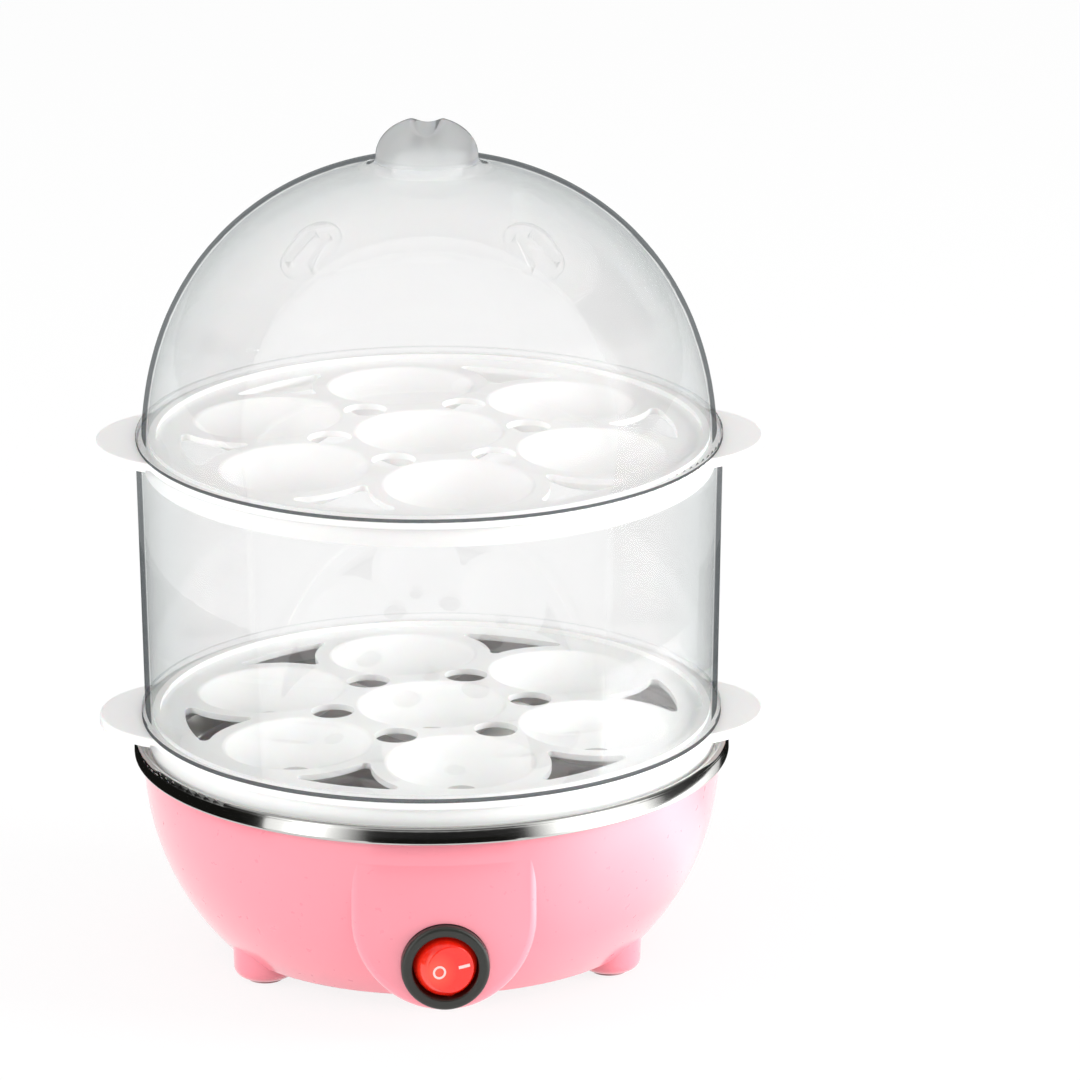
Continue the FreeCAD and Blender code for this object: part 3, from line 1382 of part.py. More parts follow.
def make_tray(land_z, skirt_length):
    """White tray: crowned web with cups and holes, gutter, locating rib, flange, skirt and two grips."""
    gutter_z = land_z - tray_gutter_below_land
    crown_z = gutter_z + tray_crown_rise
    crown_sphere_radius = (tray_crown_radius ** 2 + tray_crown_rise ** 2) / (2 * tray_crown_rise)
    sphere_centre_z = crown_z - crown_sphere_radius
    flange_low_z = land_z - tray_flange
    under_z = gutter_z - tray_web
    skirt_low_z = flange_low_z - skirt_length
    skirt_inner = tray_skirt_radius - tray_skirt_wall
    rib_z = land_z + tray_rib_height

    def crown_point(radius, drop):
        """Point on the crowned web, or below it by the web's thickness."""
        sphere = crown_sphere_radius - drop
        return V(radius, 0, sphere_centre_z + math.sqrt(sphere ** 2 - radius ** 2))

    top_arc = Part.Arc(crown_point(0, 0), crown_point(tray_crown_radius / 2, 0),
                       crown_point(tray_crown_radius, 0))
    low_arc = Part.Arc(crown_point(0, tray_web), crown_point(tray_crown_radius / 2, tray_web),
                       crown_point(tray_crown_radius, tray_web))
    low_rim = crown_point(tray_crown_radius, tray_web)
    edges = [top_arc.toShape(), low_arc.toShape()]
    edges += polyline([
        (tray_crown_radius, gutter_z), (tray_rib_inner_radius, gutter_z), (tray_rib_inner_radius, rib_z),
        (tray_rib_outer_radius, rib_z), (tray_rib_outer_radius, land_z), (tray_radius, land_z),
        (tray_radius, flange_low_z), (tray_skirt_radius, flange_low_z), (tray_skirt_radius, skirt_low_z),
        (skirt_inner, skirt_low_z), (skirt_inner, under_z), (low_rim.x, low_rim.z)])
    edges += polyline([(0, crown_z), (0, crown_z - tray_web)])
    body = revolve_profile(edges)

    cup_sphere = (cup_radius ** 2 + cup_depth ** 2) / (2 * cup_depth)
    cup_places = [ORIGIN] + [polar(cup_centre_distance, 180 / cup_count * (2 * index + 1), 0)
                             for index in range(cup_count)]
    web_middle = Part.makeSphere(crown_sphere_radius - tray_web / 2, V(0, 0, sphere_centre_z))
    cups = []
    cuts = []
    for place in cup_places:
        surface_z = crown_point(place.Length, 0).z
        centre = V(place.x, place.y, surface_z - cup_depth + cup_sphere)
        cups.append(Part.makeSphere(cup_sphere + tray_web, centre).common(web_middle))
        cuts.append(Part.makeSphere(cup_sphere, centre))
        cuts.append(cylinder(cup_drain_radius, surface_z - cup_depth - tray_web - overrun, surface_z, place))
    body = body.multiFuse(cups).cut(cuts)

    low_z = under_z - overrun
    high_z = crown_z + overrun
    holes = []
    for index in range(cup_count):
        angle = 360 / cup_count * index
        holes.append(cylinder(steam_hole_radius, low_z, high_z, polar(steam_hole_centre_distance, angle, 0)))
        holes.append(turned(slot_prism(low_z, high_z), angle))
    body = body.cut(holes)
    mouths = edges_where(body, lambda edge: is_circle(edge, cup_radius, cup_mouth_slack_share))
    body = body.makeFillet(cup_edge_radius, mouths)
    body = turned(body, tray_pattern_turn_deg)
    body = body.multiFuse(tray_grips(land_z))
    return turned(body.removeSplitter(), stack_turn_deg)


def slot_prism(low_z, high_z):
    """Curved triangle between two neighbouring cups, on the +X axis, with rounded corners."""
    half_pitch_deg = 180 / cup_count
    cosine = math.cos(math.radians(half_pitch_deg))
    cup_place = polar(cup_centre_distance, half_pitch_deg, low_z)
    other_cup_place = polar(cup_centre_distance, -half_pitch_deg, low_z)
    sector = cylinder(slot_outer_radius, low_z, high_z)
    wedge_reach = slot_outer_radius / cosine + overrun
    corners = [V(0, 0, low_z), polar(wedge_reach, -half_pitch_deg, low_z),
               polar(wedge_reach, half_pitch_deg, low_z)]
    wedge = Part.Face(Part.makePolygon(corners + [corners[0]])).extrude(V(0, 0, high_z - low_z))
    sector = sector.common(wedge)
    inner = block(V(-overrun, -wedge_reach, low_z - overrun),
                  V(cup_centre_distance * cosine, wedge_reach, high_z + overrun))
    rounds = [cylinder(slot_cup_distance, low_z - overrun, high_z + overrun, place)
              for place in (cup_place, other_cup_place)]
    sector = sector.cut([inner] + rounds)
    uprights = edges_where(sector, lambda edge: edge.BoundBox.ZLength > (high_z - low_z) / 2)
    return sector.makeFillet(slot_corner_radius, uprights)


def tray_grips(land_z):
    """Two rounded grips that stand out from the tray's flange, with a turned-down lip."""
    grips = []
    low_z = land_z - grip_lip_depth
    flange_low_z = land_z - tray_flange
    for side in (1, -1):
        centre = V(side * (grip_reach - grip_disc_radius), 0, 0)
        plate = cylinder(grip_disc_radius, low_z, land_z, centre)
        rim = edges_where(plate, lambda edge: is_circle(edge, grip_disc_radius)
                          and edge.CenterOfMass.z > flange_low_z)
        plate = plate.makeFillet(grip_edge_radius, rim)
        hollow = cylinder(grip_disc_radius - grip_lip_width, low_z - overrun, flange_low_z, centre)
        keep_out = cylinder(middle_top_radius + seat_gap, low_z - overrun, flange_low_z)
        inner_disc = cylinder(tray_rib_outer_radius, low_z - overrun, land_z + overrun)
        plate = plate.cut([hollow, keep_out, inner_disc])
        grips.append(plate)
    return grips


def make_lower_tray():
    """Tray that stands on the bowl's ledge."""
    return make_tray(lower_land_z, lower_land_z - tray_flange - bowl_ledge_z)


def make_upper_tray():
    """Tray that rests on the middle cover's top edge."""
    return make_tray(upper_land_z, upper_skirt_length)


# Clear covers

def make_middle_cover():
    """Clear ring between the trays: a slightly flared wall with a foot flange."""
    flange_z = lower_land_z + middle_flange_height
    lean = (middle_top_radius - middle_bottom_radius) / (middle_top_z - lower_land_z)
    flange_wall = middle_bottom_radius + lean * middle_flange_height
    profile = polyline([
        (middle_bottom_radius - clear_wall, lower_land_z), (middle_flange_radius, lower_land_z),
        (middle_flange_radius, flange_z), (flange_wall, flange_z), (middle_top_radius, middle_top_z),
        (middle_top_radius - clear_wall, middle_top_z), (middle_bottom_radius - clear_wall, lower_land_z)])
    return turned(revolve_profile(profile), stack_turn_deg)


def lid_point(radius):
    """Height of the lid's outer surface at a radius."""
    return lid_equator_z + lid_height * (1 - (radius / lid_radius) ** lid_exponent) ** (1 / lid_exponent)


def lid_normal(radius, angle_deg):
    """Outward direction of the lid's outer surface at a radius and an angle."""
    height = lid_point(radius) - lid_equator_z
    across = (radius / lid_radius) ** (lid_exponent - 1) / lid_radius
    upward = (height / lid_height) ** (lid_exponent - 1) / lid_height
    return polar(across, angle_deg, upward).normalize()


def knob_form(inset, low_z, notched):
    """Knob body that flares at its foot, notched on top, or its plain hollow one inset further in."""
    half_width = knob_half_width - inset
    rise = knob_rise - inset if notched else knob_rise - knob_notch_depth - inset
    foot_radius = knob_half_width + knob_flare_width
    across = knob_flare_width + inset
    drop = knob_flare_drop + inset
    crown = superellipse_edge(half_width, rise, knob_exponent, knob_shoulder_z, rise)
    flare_points = []
    for step in range(superellipse_points):
        angle = math.pi / 2 * step / (superellipse_points - 1)
        flare_points.append(V(foot_radius - across * math.cos(angle), 0,
                              knob_shoulder_z - drop * math.sin(angle)))
    flare = Part.BSplineCurve()
    flare.interpolate(flare_points)
    profile = polyline([(foot_radius, knob_shoulder_z - drop), (foot_radius, low_z), (0, low_z),
                        (0, knob_shoulder_z + rise)])
    body = revolve_profile([crown, flare.toShape()] + profile)
    if notched:
        notch_z = knob_shoulder_z + knob_rise - knob_notch_depth + knob_notch_radius
        body = body.cut(rod(knob_notch_radius, V(0, -foot_radius, notch_z), V(0, foot_radius, notch_z)))
        edges = edges_where(body, lambda edge: edge.BoundBox.ZMin > knob_shoulder_z + knob_rise / 2
                            and edge.BoundBox.YLength > knob_notch_radius)
        body = body.makeFillet(knob_notch_edge_radius, edges)
    squeeze = FreeCAD.Matrix()
    squeeze.scale(1, knob_half_depth / knob_half_width, 1)
    return body.transformGeometry(squeeze)


def vent_frame(shape, angle_deg):
    """Put a vent piece, drawn round the Z axis on Z = 0 with its long way along X, on the lid's surface."""
    out = lid_normal(vent_centre_distance, angle_deg)
    side = V(-math.sin(math.radians(angle_deg)), math.cos(math.radians(angle_deg)), 0)
    down_slope = side.cross(out)
    place = polar(vent_centre_distance, angle_deg, lid_point(vent_centre_distance))
    matrix = FreeCAD.Matrix(down_slope.x, side.x, out.x, place.x, down_slope.y, side.y, out.y, place.y,
                            down_slope.z, side.z, out.z, place.z)
    copy = shape.copy()
    copy.Placement = FreeCAD.Placement(matrix).multiply(copy.Placement)
    return copy


def make_dome_lid():
    """Clear domed lid with a foot flange, a hollow flared knob and two raised steam vents."""
    rim_height = upper_land_z - lid_equator_z
    outer = superellipse_edge(lid_radius, lid_height, lid_exponent, lid_equator_z, lid_height, rim_height)
    start, apex = ends_of(outer)
    profile = polyline([(start.x, start.z), (0, upper_land_z), (0, apex.z)])
    shell = revolve_profile([outer] + profile)
    knob = knob_form(0, knob_shoulder_z - knob_rise, True)
    vents = []
    slots = []
    for side in (1, -1):
        angle = -90 + side * vent_half_angle_deg
        pad = obround(vent_half_length, vent_half_width, vent_proud + clear_wall)
        crown = edges_where(pad, lambda edge: edge.BoundBox.ZMin > vent_proud)
        pad = pad.makeFillet(vent_edge_radius, crown)
        vents.append(vent_frame(moved(pad, V(0, 0, -clear_wall)), angle))
        for hand in (1, -1):
            slot = obround(vent_slot_length / 2, vent_slot_width / 2,
                           vent_proud + clear_wall + 2 * overrun, hand * vent_slot_splay_deg)
            offset = V(0, hand * vent_slot_offset, -clear_wall - overrun)
            slots.append(vent_frame(moved(slot, offset), angle))
    solid = shell.multiFuse([knob] + vents)
    flange_z = upper_land_z + lid_flange_height
    flange = cylinder(lid_flange_radius, upper_land_z, flange_z)
    rims = edges_where(flange, lambda edge: is_circle(edge, lid_flange_radius))
    solid = solid.fuse(flange.makeFillet(lid_flange_edge_radius, rims))
    inner = superellipse_edge(lid_radius - clear_wall, lid_height - clear_wall, lid_exponent,
                              lid_equator_z, lid_height - clear_wall, rim_height)
    inner_start, inner_apex = ends_of(inner)
    hollow_profile = polyline([(inner_start.x, inner_start.z), (inner_start.x, lid_equator_z),
                               (0, lid_equator_z), (0, inner_apex.z)])
    hollow = revolve_profile([inner] + hollow_profile)
    knob_hollow = knob_form(knob_wall, knob_shoulder_z - 2 * knob_rise, False)
    solid = solid.cut([hollow, knob_hollow] + slots)
    return turned(solid, lid_turn_deg)


nodes = {
    "base_housing": make_base_housing,
    "foot_rubbers": make_foot_rubbers,
    "bottom_cover": make_bottom_cover,
    "cover_screws": make_cover_screws,
    "water_bowl": make_water_bowl,
    "rim_gasket": make_rim_gasket,
    "bowl_stud": make_bowl_stud,
    "heater_plate": make_heater_plate,
    "heating_element": make_heating_element,
    "element_bushes": make_element_bushes,
    "element_terminals": make_element_terminals,
    "plate_spacer": make_plate_spacer,
    "heat_shield": make_heat_shield,
    "clamp_bracket": make_clamp_bracket,
    "clamp_washer": make_clamp_washer,
    "clamp_nut": make_clamp_nut,
    "bracket_screws": make_bracket_screws,
    "thermostat_cap": make_thermostat_cap,
    "thermostat_body": make_thermostat_body,
    "thermostat_clip": make_thermostat_clip,
    "thermostat_screws": make_thermostat_screws,
    "thermostat_tabs": make_thermostat_tabs,
    "fuse_sleeve": make_fuse_sleeve,
    "thermal_fuse": make_thermal_fuse,
    "fuse_clip": make_fuse_clip,
    "fuse_clip_screw": make_fuse_clip_screw,
    "earth_eyelet": make_earth_eyelet,
    "earth_screw": make_earth_screw,
    "terminal_block": make_terminal_block,
    "block_inserts": make_block_inserts,
    "block_clamp_screws": make_block_clamp_screws,
    "block_mount_screws": make_block_mount_screws,
    "spade_receptacles": make_spade_receptacles,
    "live_lead": make_live_lead,
    "lamp_lead": make_lamp_lead,
    "switched_lead": make_switched_lead,
    "fuse_feed_lead": make_fuse_feed_lead,
    "element_feed_lead": make_element_feed_lead,
    "neutral_lead": make_neutral_lead,
    "earth_lead": make_earth_lead,
    "cord_bush": make_cord_bush,
    "switch_housing": make_switch_housing,
    "switch_rocker": make_switch_rocker,
    "rocker_marks": make_rocker_marks,
    "switch_plunger": make_switch_plunger,
    "plunger_spring": make_plunger_spring,
    "neon_lamp": make_neon_lamp,
    "switch_contact": make_switch_contact,
    "switch_terminals": make_switch_terminals,
    "lower_tray": make_lower_tray,
    "middle_cover": make_middle_cover,
    "upper_tray": make_upper_tray,
    "dome_lid": make_dome_lid,
}

os.makedirs("parts", exist_ok=True)
for name, make in nodes.items():
    shape = make()
    print(name, "solids", len(shape.Solids), "volume", round(shape.Volume, 2), "valid", shape.isValid())
    shape.exportStep(os.path.join("parts", name + ".step"))
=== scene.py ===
"""Two-tier egg steamer: pink base with a steel bowl and a red rocker, white cupped trays, clear covers."""

import logging
import math
from dataclasses import dataclass, field, replace
from enum import Enum

import bmesh
import bpy
import numpy as np
from mathutils import Matrix, Vector


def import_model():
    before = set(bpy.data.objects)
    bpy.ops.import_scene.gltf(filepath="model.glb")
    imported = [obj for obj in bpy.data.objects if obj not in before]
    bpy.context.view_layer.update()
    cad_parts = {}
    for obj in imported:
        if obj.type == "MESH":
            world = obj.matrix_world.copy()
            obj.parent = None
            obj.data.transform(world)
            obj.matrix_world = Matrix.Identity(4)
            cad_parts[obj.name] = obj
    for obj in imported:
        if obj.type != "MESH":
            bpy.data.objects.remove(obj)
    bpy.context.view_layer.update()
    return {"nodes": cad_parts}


LOG = logging.getLogger("egg_steamer")
MM = 0.001
# Sockets of a colour Mix node, whose names repeat
MIX_SHARE, MIX_FIRST, MIX_SECOND, MIX_RESULT = "0", "6", "7", 2


# Colour and node helpers


def srgb(code: str) -> tuple[float, float, float, float]:
    """Turn an sRGB hex colour into the linear colour that a shader takes.

    Args:
        code: Colour as #RRGGBB.

    Returns:
        Linear red, green, blue and an alpha of one.
    """
    parts = [int(code[i:i + 2], 16) / 255 for i in (1, 3, 5)]
    linear = [c / 12.92 if c <= 0.04045 else ((c + 0.055) / 1.055) ** 2.4 for c in parts]
    return (linear[0], linear[1], linear[2], 1.0)


def add_node(tree: bpy.types.NodeTree, kind: str, settings: dict[str, object] | None = None,
             values: dict[str, object] | None = None,
             links: dict[str, bpy.types.NodeSocket] | None = None) -> bpy.types.Node:
    """Add one node with its settings, socket values and incoming links.

    Args:
        tree: Node tree that takes the node.
        kind: Blender's name for the node type.
        settings: Properties of the node itself.
        values: Constant values for its input sockets, by name.
        links: Output sockets that feed its input sockets, by name.

    Returns:
        The new node.
    """
    node = tree.nodes.new(kind)
    for name, value in (settings or {}).items():
        setattr(node, name, value)
    for name, value in (values or {}).items():
        node.inputs[int(name) if name.isdigit() else name].default_value = value
    for name, source in (links or {}).items():
        tree.links.new(source, node.inputs[int(name) if name.isdigit() else name])
    return node


def new_tree(name: str) -> tuple[bpy.types.Material, bpy.types.NodeTree, bpy.types.NodeSocket]:
    """Start a material with an empty tree.

    Args:
        name: Name of the material.

    Returns:
        The material, its tree and the object coordinate output.
    """
    material = bpy.data.materials.new(name)
    material.use_nodes = True
    tree = material.node_tree
    tree.nodes.clear()
    coordinates = add_node(tree, "ShaderNodeTexCoord")
    return material, tree, coordinates.outputs["Object"]


def fill_ramp(node: bpy.types.Node, steps: tuple[tuple[float, str], ...]) -> None:
    """Set the stops of a colour ramp.

    Args:
        node: Colour ramp node.
        steps: Place and sRGB hex colour of each stop, in rising order.
    """
    elements = node.color_ramp.elements
    while len(elements) < len(steps):
        elements.new(1.0)
    for element, (place, code) in zip(elements, steps):
        element.position = place
        element.color = srgb(code)


# Finishes


@dataclass(frozen=True)
class MouldedPlastic:
    """An injection-moulded thermoplastic with a faint flow mottling and the slight waviness of a cooled skin."""

    name: str
    colour: str
    shade: str
    roughness: float
    ior: float = 1.53
    wave_mm: float = 16.0
    wave_depth_mm: float = 0.006
    grain_mm: float = 0.0
    grain_depth_mm: float = 0.0
    flow_mm: float = 45.0
    fine_mm: float = 2.5
    gloss_spread: float = 0.06
    coat: float = 0.0
    coat_roughness: float = 0.14
    glow_through: float = 0.0
    glow_depth_mm: float = 2.0

    def build(self) -> bpy.types.Material:
        """Make the material.

        Returns:
            The material.
        """
        material, tree, place = new_tree(self.name)
        flow = add_node(tree, "ShaderNodeTexNoise", values={"Scale": 1 / (self.flow_mm * MM), "Detail": 3.0},
                        links={"Vector": place})
        tone = add_node(tree, "ShaderNodeMix", {"data_type": "RGBA"},
                        {MIX_FIRST: srgb(self.colour), MIX_SECOND: srgb(self.shade)}, {MIX_SHARE: flow.outputs["Fac"]})
        fine = add_node(tree, "ShaderNodeTexNoise", values={"Scale": 1 / (self.fine_mm * MM), "Detail": 4.0},
                        links={"Vector": place})
        gloss = add_node(tree, "ShaderNodeMapRange",
                         values={"To Min": self.roughness * (1 - self.gloss_spread),
                                 "To Max": self.roughness * (1 + self.gloss_spread)},
                         links={"Value": fine.outputs["Fac"]})
        wave = add_node(tree, "ShaderNodeTexNoise", values={"Scale": 1 / (self.wave_mm * MM), "Detail": 1.0},
                        links={"Vector": place})
        skin = add_node(tree, "ShaderNodeBump", values={"Distance": self.wave_depth_mm * MM, "Strength": 1.0},
                        links={"Height": wave.outputs["Fac"]})
        normal = skin.outputs["Normal"]
        if self.grain_mm:
            grain = add_node(tree, "ShaderNodeTexNoise", values={"Scale": 1 / (self.grain_mm * MM), "Detail": 2.0},
                             links={"Vector": place})
            etched = add_node(tree, "ShaderNodeBump", values={"Distance": self.grain_depth_mm * MM, "Strength": 1.0},
                              links={"Height": grain.outputs["Fac"], "Normal": normal})
            normal = etched.outputs["Normal"]
        shader = add_node(tree, "ShaderNodeBsdfPrincipled",
                          values={"IOR": self.ior, "Coat Weight": self.coat, "Coat Roughness": self.coat_roughness,
                                  "Subsurface Weight": self.glow_through,
                                  "Subsurface Scale": self.glow_depth_mm * MM},
                          links={"Base Color": tone.outputs[MIX_RESULT], "Roughness": gloss.outputs["Result"],
                                 "Normal": normal})
        add_node(tree, "ShaderNodeOutputMaterial", links={"Surface": shader.outputs["BSDF"]})
        return material


@dataclass(frozen=True)
class MattTopWithPaintedShade:
    """The upper part of a clear moulding that is left matt by the tool, from where it starts to the very top, with
    painted shade that darkens it towards its crown.
    """

    low_mm: float
    high_mm: float
    # Painted shade: the colours at the foot and at the crown of the matt top
    low_colour: str
    high_colour: str
    roughness: float
    straight_share: float
    fade_mm: float = 2.0


@dataclass(frozen=True)
class PaintedGreyRing:
    """The outer foot of a clear moulding, painted grey as shade for the light trapped in its thick edge."""

    low_mm: float
    high_mm: float
    radius_mm: float


@dataclass(frozen=True)
class SoftSpot:
    """A round area where no painted dark outline is drawn, so that its small walls stay as pale as the sheet around
    them.
    """

    x_mm: float
    y_mm: float
    radius_mm: float


@dataclass(frozen=True)
class DomeSkin:
    """Outer skin of a dome that follows a rounded-square curve over its equator: where the painted dark outline may
    fall.
    """

    radius_mm: float
    height_mm: float
    equator_mm: float
    exponent: float
    start: float = 0.975

    def build(self, tree: bpy.types.NodeTree, radius: bpy.types.NodeSocket,
              height: bpy.types.NodeSocket) -> bpy.types.NodeSocket:
        """Tell the outer skin from the inner one.

        Args:
            tree: Node tree that takes the nodes.
            radius: Distance from the axis.
            height: Height over the floor.

        Returns:
            One on the outer skin, else zero.
        """
        across = add_node(tree, "ShaderNodeMath", {"operation": "DIVIDE"}, {"1": self.radius_mm * MM}, {"0": radius})
        bulge = add_node(tree, "ShaderNodeMath", {"operation": "POWER"}, {"1": self.exponent},
                         {"0": across.outputs[0]})
        over = add_node(tree, "ShaderNodeMath", {"operation": "SUBTRACT"}, {"1": self.equator_mm * MM}, {"0": height})
        upward = add_node(tree, "ShaderNodeMath", {"operation": "DIVIDE"}, {"1": self.height_mm * MM},
                          {"0": over.outputs[0]})
        rise = add_node(tree, "ShaderNodeMath", {"operation": "POWER"}, {"1": self.exponent},
                        {"0": upward.outputs[0]})
        total = add_node(tree, "ShaderNodeMath", {"operation": "ADD"},
                         links={"0": bulge.outputs[0], "1": rise.outputs[0]})
        outer = add_node(tree, "ShaderNodeMath", {"operation": "GREATER_THAN"}, {"1": self.start},
                         {"0": total.outputs[0]})
        return outer.outputs[0]


@dataclass(frozen=True)
class FlaredSkin:
    """Outer skin of a ring wall that flares a little with height: where the painted dark outline may fall."""

    foot_radius_mm: float
    foot_mm: float
    lean: float

    def build(self, tree: bpy.types.NodeTree, radius: bpy.types.NodeSocket,
              height: bpy.types.NodeSocket) -> bpy.types.NodeSocket:
        """Tell the outer skin from the inner one.

        Args:
            tree: Node tree that takes the nodes.
            radius: Distance from the axis.
            height: Height over the floor.

        Returns:
            One on the outer skin, else zero.
        """
        flared = add_node(tree, "ShaderNodeMath", {"operation": "MULTIPLY_ADD"},
                          {"1": self.lean, "2": (self.foot_radius_mm - self.foot_mm * self.lean) * MM}, {"0": height})
        outer = add_node(tree, "ShaderNodeMath", {"operation": "GREATER_THAN"},
                         links={"0": radius, "1": flared.outputs[0]})
        return outer.outputs[0]


@dataclass(frozen=True)
class ClearPolystyrene:
    """Clear crystal polystyrene, injection-moulded: a thin wall with painted shade that greys it as it turns away, and
    a painted dark outline.
    """

    name: str
    # Painted shade: the wall's colour by how far the wall turns away, pale where it faces the view and greyer towards
    # the silhouette
    steps: tuple[tuple[float, str], ...] = (
        (0.0, "#FDFDFD"), (0.40, "#FCFCFC"), (0.62, "#F8F9F9"), (0.80, "#F1F2F2"), (1.0, "#E6E8E8"))
    shadow: str = "#FCFCFC"
    # Painted dark outline where the outer skin turns away, also used for the painted grey foot ring
    outline: str = "#74787A"
    outline_start: float = 0.805
    straight_share: float = 0.9
    outline_fade: float = 0.025
    roughness: float = 0.02
    ior: float = 1.49
    wave_mm: float = 22.0
    wave_depth_mm: float = 0.005
    haze: MattTopWithPaintedShade | None = None
    ring: PaintedGreyRing | None = None
    skin: DomeSkin | FlaredSkin | None = None
    spots: tuple[SoftSpot, ...] = ()

    def build(self) -> bpy.types.Material:
        """Make the material.

        Returns:
            The material.
        """
        material, tree, place = new_tree(self.name)
        wave = add_node(tree, "ShaderNodeTexNoise", values={"Scale": 1 / (self.wave_mm * MM), "Detail": 0.0},
                        links={"Vector": place})
        skin = add_node(tree, "ShaderNodeBump", values={"Distance": self.wave_depth_mm * MM, "Strength": 1.0},
                        links={"Height": wave.outputs["Fac"]})
        turn = add_node(tree, "ShaderNodeLayerWeight", values={"Blend": 0.5})
        # Painted shade: the wall's colour greys as the wall turns away from the view
        wall = add_node(tree, "ShaderNodeValToRGB", links={"Fac": turn.outputs["Facing"]})
        fill_ramp(wall, self.steps)
        shader = add_node(tree, "ShaderNodeBsdfPrincipled",
                          values={"IOR": self.ior, "Roughness": self.roughness, "Transmission Weight": 1.0},
                          links={"Normal": skin.outputs["Normal"]})
        split = add_node(tree, "ShaderNodeSeparateXYZ", links={"Vector": place})
        colour, straight_share = self.matt_top_and_painted_shade(tree, split, wall.outputs["Color"], shader)
        # Painted dark outline, mixed over the painted wall shade
        edge = self.outline_share(tree, split, turn.outputs["Facing"])
        lined = add_node(tree, "ShaderNodeMix", {"data_type": "RGBA"}, {MIX_SECOND: srgb(self.outline)},
                         {MIX_SHARE: edge, MIX_FIRST: colour})
        tree.links.new(lined.outputs[MIX_RESULT], shader.inputs["Base Color"])
        # The see-through part carries the same painted shade and outline; shadow rays take the plain shadow tint
        path = add_node(tree, "ShaderNodeLightPath")
        shade = add_node(tree, "ShaderNodeMix", {"data_type": "RGBA"}, {MIX_SECOND: srgb(self.shadow)},
                         {MIX_SHARE: path.outputs["Is Shadow Ray"], MIX_FIRST: lined.outputs[MIX_RESULT]})
        see_through = add_node(tree, "ShaderNodeBsdfTransparent", links={"Color": shade.outputs[MIX_RESULT]})
        straight = add_node(tree, "ShaderNodeMath", {"operation": "MAXIMUM"}, {"1": self.straight_share},
                            {"0": path.outputs["Is Shadow Ray"]})
        if straight_share:
            tree.links.new(straight_share, straight.inputs[1])
        clear = add_node(tree, "ShaderNodeMixShader",
                         links={"0": straight.outputs[0], "1": shader.outputs["BSDF"],
                                "2": see_through.outputs["BSDF"]})
        add_node(tree, "ShaderNodeOutputMaterial", links={"Surface": clear.outputs["Shader"]})
        return material

    def outline_share(self, tree: bpy.types.NodeTree, split: bpy.types.Node,
                      facing: bpy.types.NodeSocket) -> bpy.types.NodeSocket:
        """Find where to paint a dark outline, where the outer skin turns away, and the painted grey ring at its foot.

        Args:
            tree: Node tree that takes the nodes.
            split: Node with the separate object coordinates.
            facing: How far the surface turns away.

        Returns:
            One on the lines, zero elsewhere.
        """
        flat = add_node(tree, "ShaderNodeCombineXYZ", links={"X": split.outputs["X"], "Y": split.outputs["Y"]})
        radius = add_node(tree, "ShaderNodeVectorMath", {"operation": "LENGTH"}, links={"0": flat.outputs[0]})
        share = add_node(tree, "ShaderNodeMapRange",
                         values={"From Min": self.outline_start,
                                 "From Max": self.outline_start + self.outline_fade},
                         links={"Value": facing}).outputs["Result"]
        if self.skin:
            outer = self.skin.build(tree, radius.outputs["Value"], split.outputs["Z"])
            share = add_node(tree, "ShaderNodeMath", {"operation": "MULTIPLY"},
                             links={"0": share, "1": outer}).outputs[0]
        for spot in self.spots:
            away = add_node(tree, "ShaderNodeVectorMath", {"operation": "DISTANCE"},
                            {"1": (spot.x_mm * MM, spot.y_mm * MM, 0.0)}, {"0": flat.outputs[0]})
            kept = add_node(tree, "ShaderNodeMath", {"operation": "GREATER_THAN"}, {"1": spot.radius_mm * MM},
                            {"0": away.outputs["Value"]})
            share = add_node(tree, "ShaderNodeMath", {"operation": "MULTIPLY"},
                             links={"0": share, "1": kept.outputs[0]}).outputs[0]
        if self.ring:
            middle = (self.ring.low_mm + self.ring.high_mm) / 2 * MM
            half = (self.ring.high_mm - self.ring.low_mm) / 2 * MM
            level = add_node(tree, "ShaderNodeMath", {"operation": "COMPARE"}, {"1": middle, "2": half},
                             {"0": split.outputs["Z"]})
            beyond = add_node(tree, "ShaderNodeMath", {"operation": "GREATER_THAN"}, {"1": self.ring.radius_mm * MM},
                              {"0": radius.outputs["Value"]})
            foot = add_node(tree, "ShaderNodeMath", {"operation": "MULTIPLY"},
                            links={"0": level.outputs[0], "1": beyond.outputs[0]})
            share = add_node(tree, "ShaderNodeMath", {"operation": "MAXIMUM"},
                             links={"0": share, "1": foot.outputs[0]}).outputs[0]
        side = add_node(tree, "ShaderNodeNewGeometry")
        front = add_node(tree, "ShaderNodeMath", {"operation": "SUBTRACT"}, {"0": 1.0},
                         {"1": side.outputs["Backfacing"]})
        lines = add_node(tree, "ShaderNodeMath", {"operation": "MULTIPLY"},
                         links={"0": share, "1": front.outputs[0]})
        return lines.outputs[0]

    def matt_top_and_painted_shade(self, tree: bpy.types.NodeTree, split: bpy.types.Node, colour: bpy.types.NodeSocket,
                 shader: bpy.types.Node) -> tuple[bpy.types.NodeSocket, bpy.types.NodeSocket | None]:
        """Turn the top matt and paint shade on it, darker from its foot to its crown.

        Args:
            tree: Node tree that takes the nodes.
            split: Node with the separate object coordinates.
            colour: Wall colour so far.
            shader: Shader whose roughness rises in the haze.

        Returns:
            The wall colour with its hazed top and painted shade, and the share of light that goes straight on.
        """
        if not self.haze:
            return colour, None
        haze = self.haze
        share = add_node(tree, "ShaderNodeMapRange",
                         values={"From Min": (haze.low_mm - haze.fade_mm) * MM,
                                 "From Max": (haze.low_mm + haze.fade_mm) * MM},
                         links={"Value": split.outputs["Z"]})
        rise = add_node(tree, "ShaderNodeMapRange",
                        values={"From Min": haze.low_mm * MM, "From Max": haze.high_mm * MM},
                        links={"Value": split.outputs["Z"]})
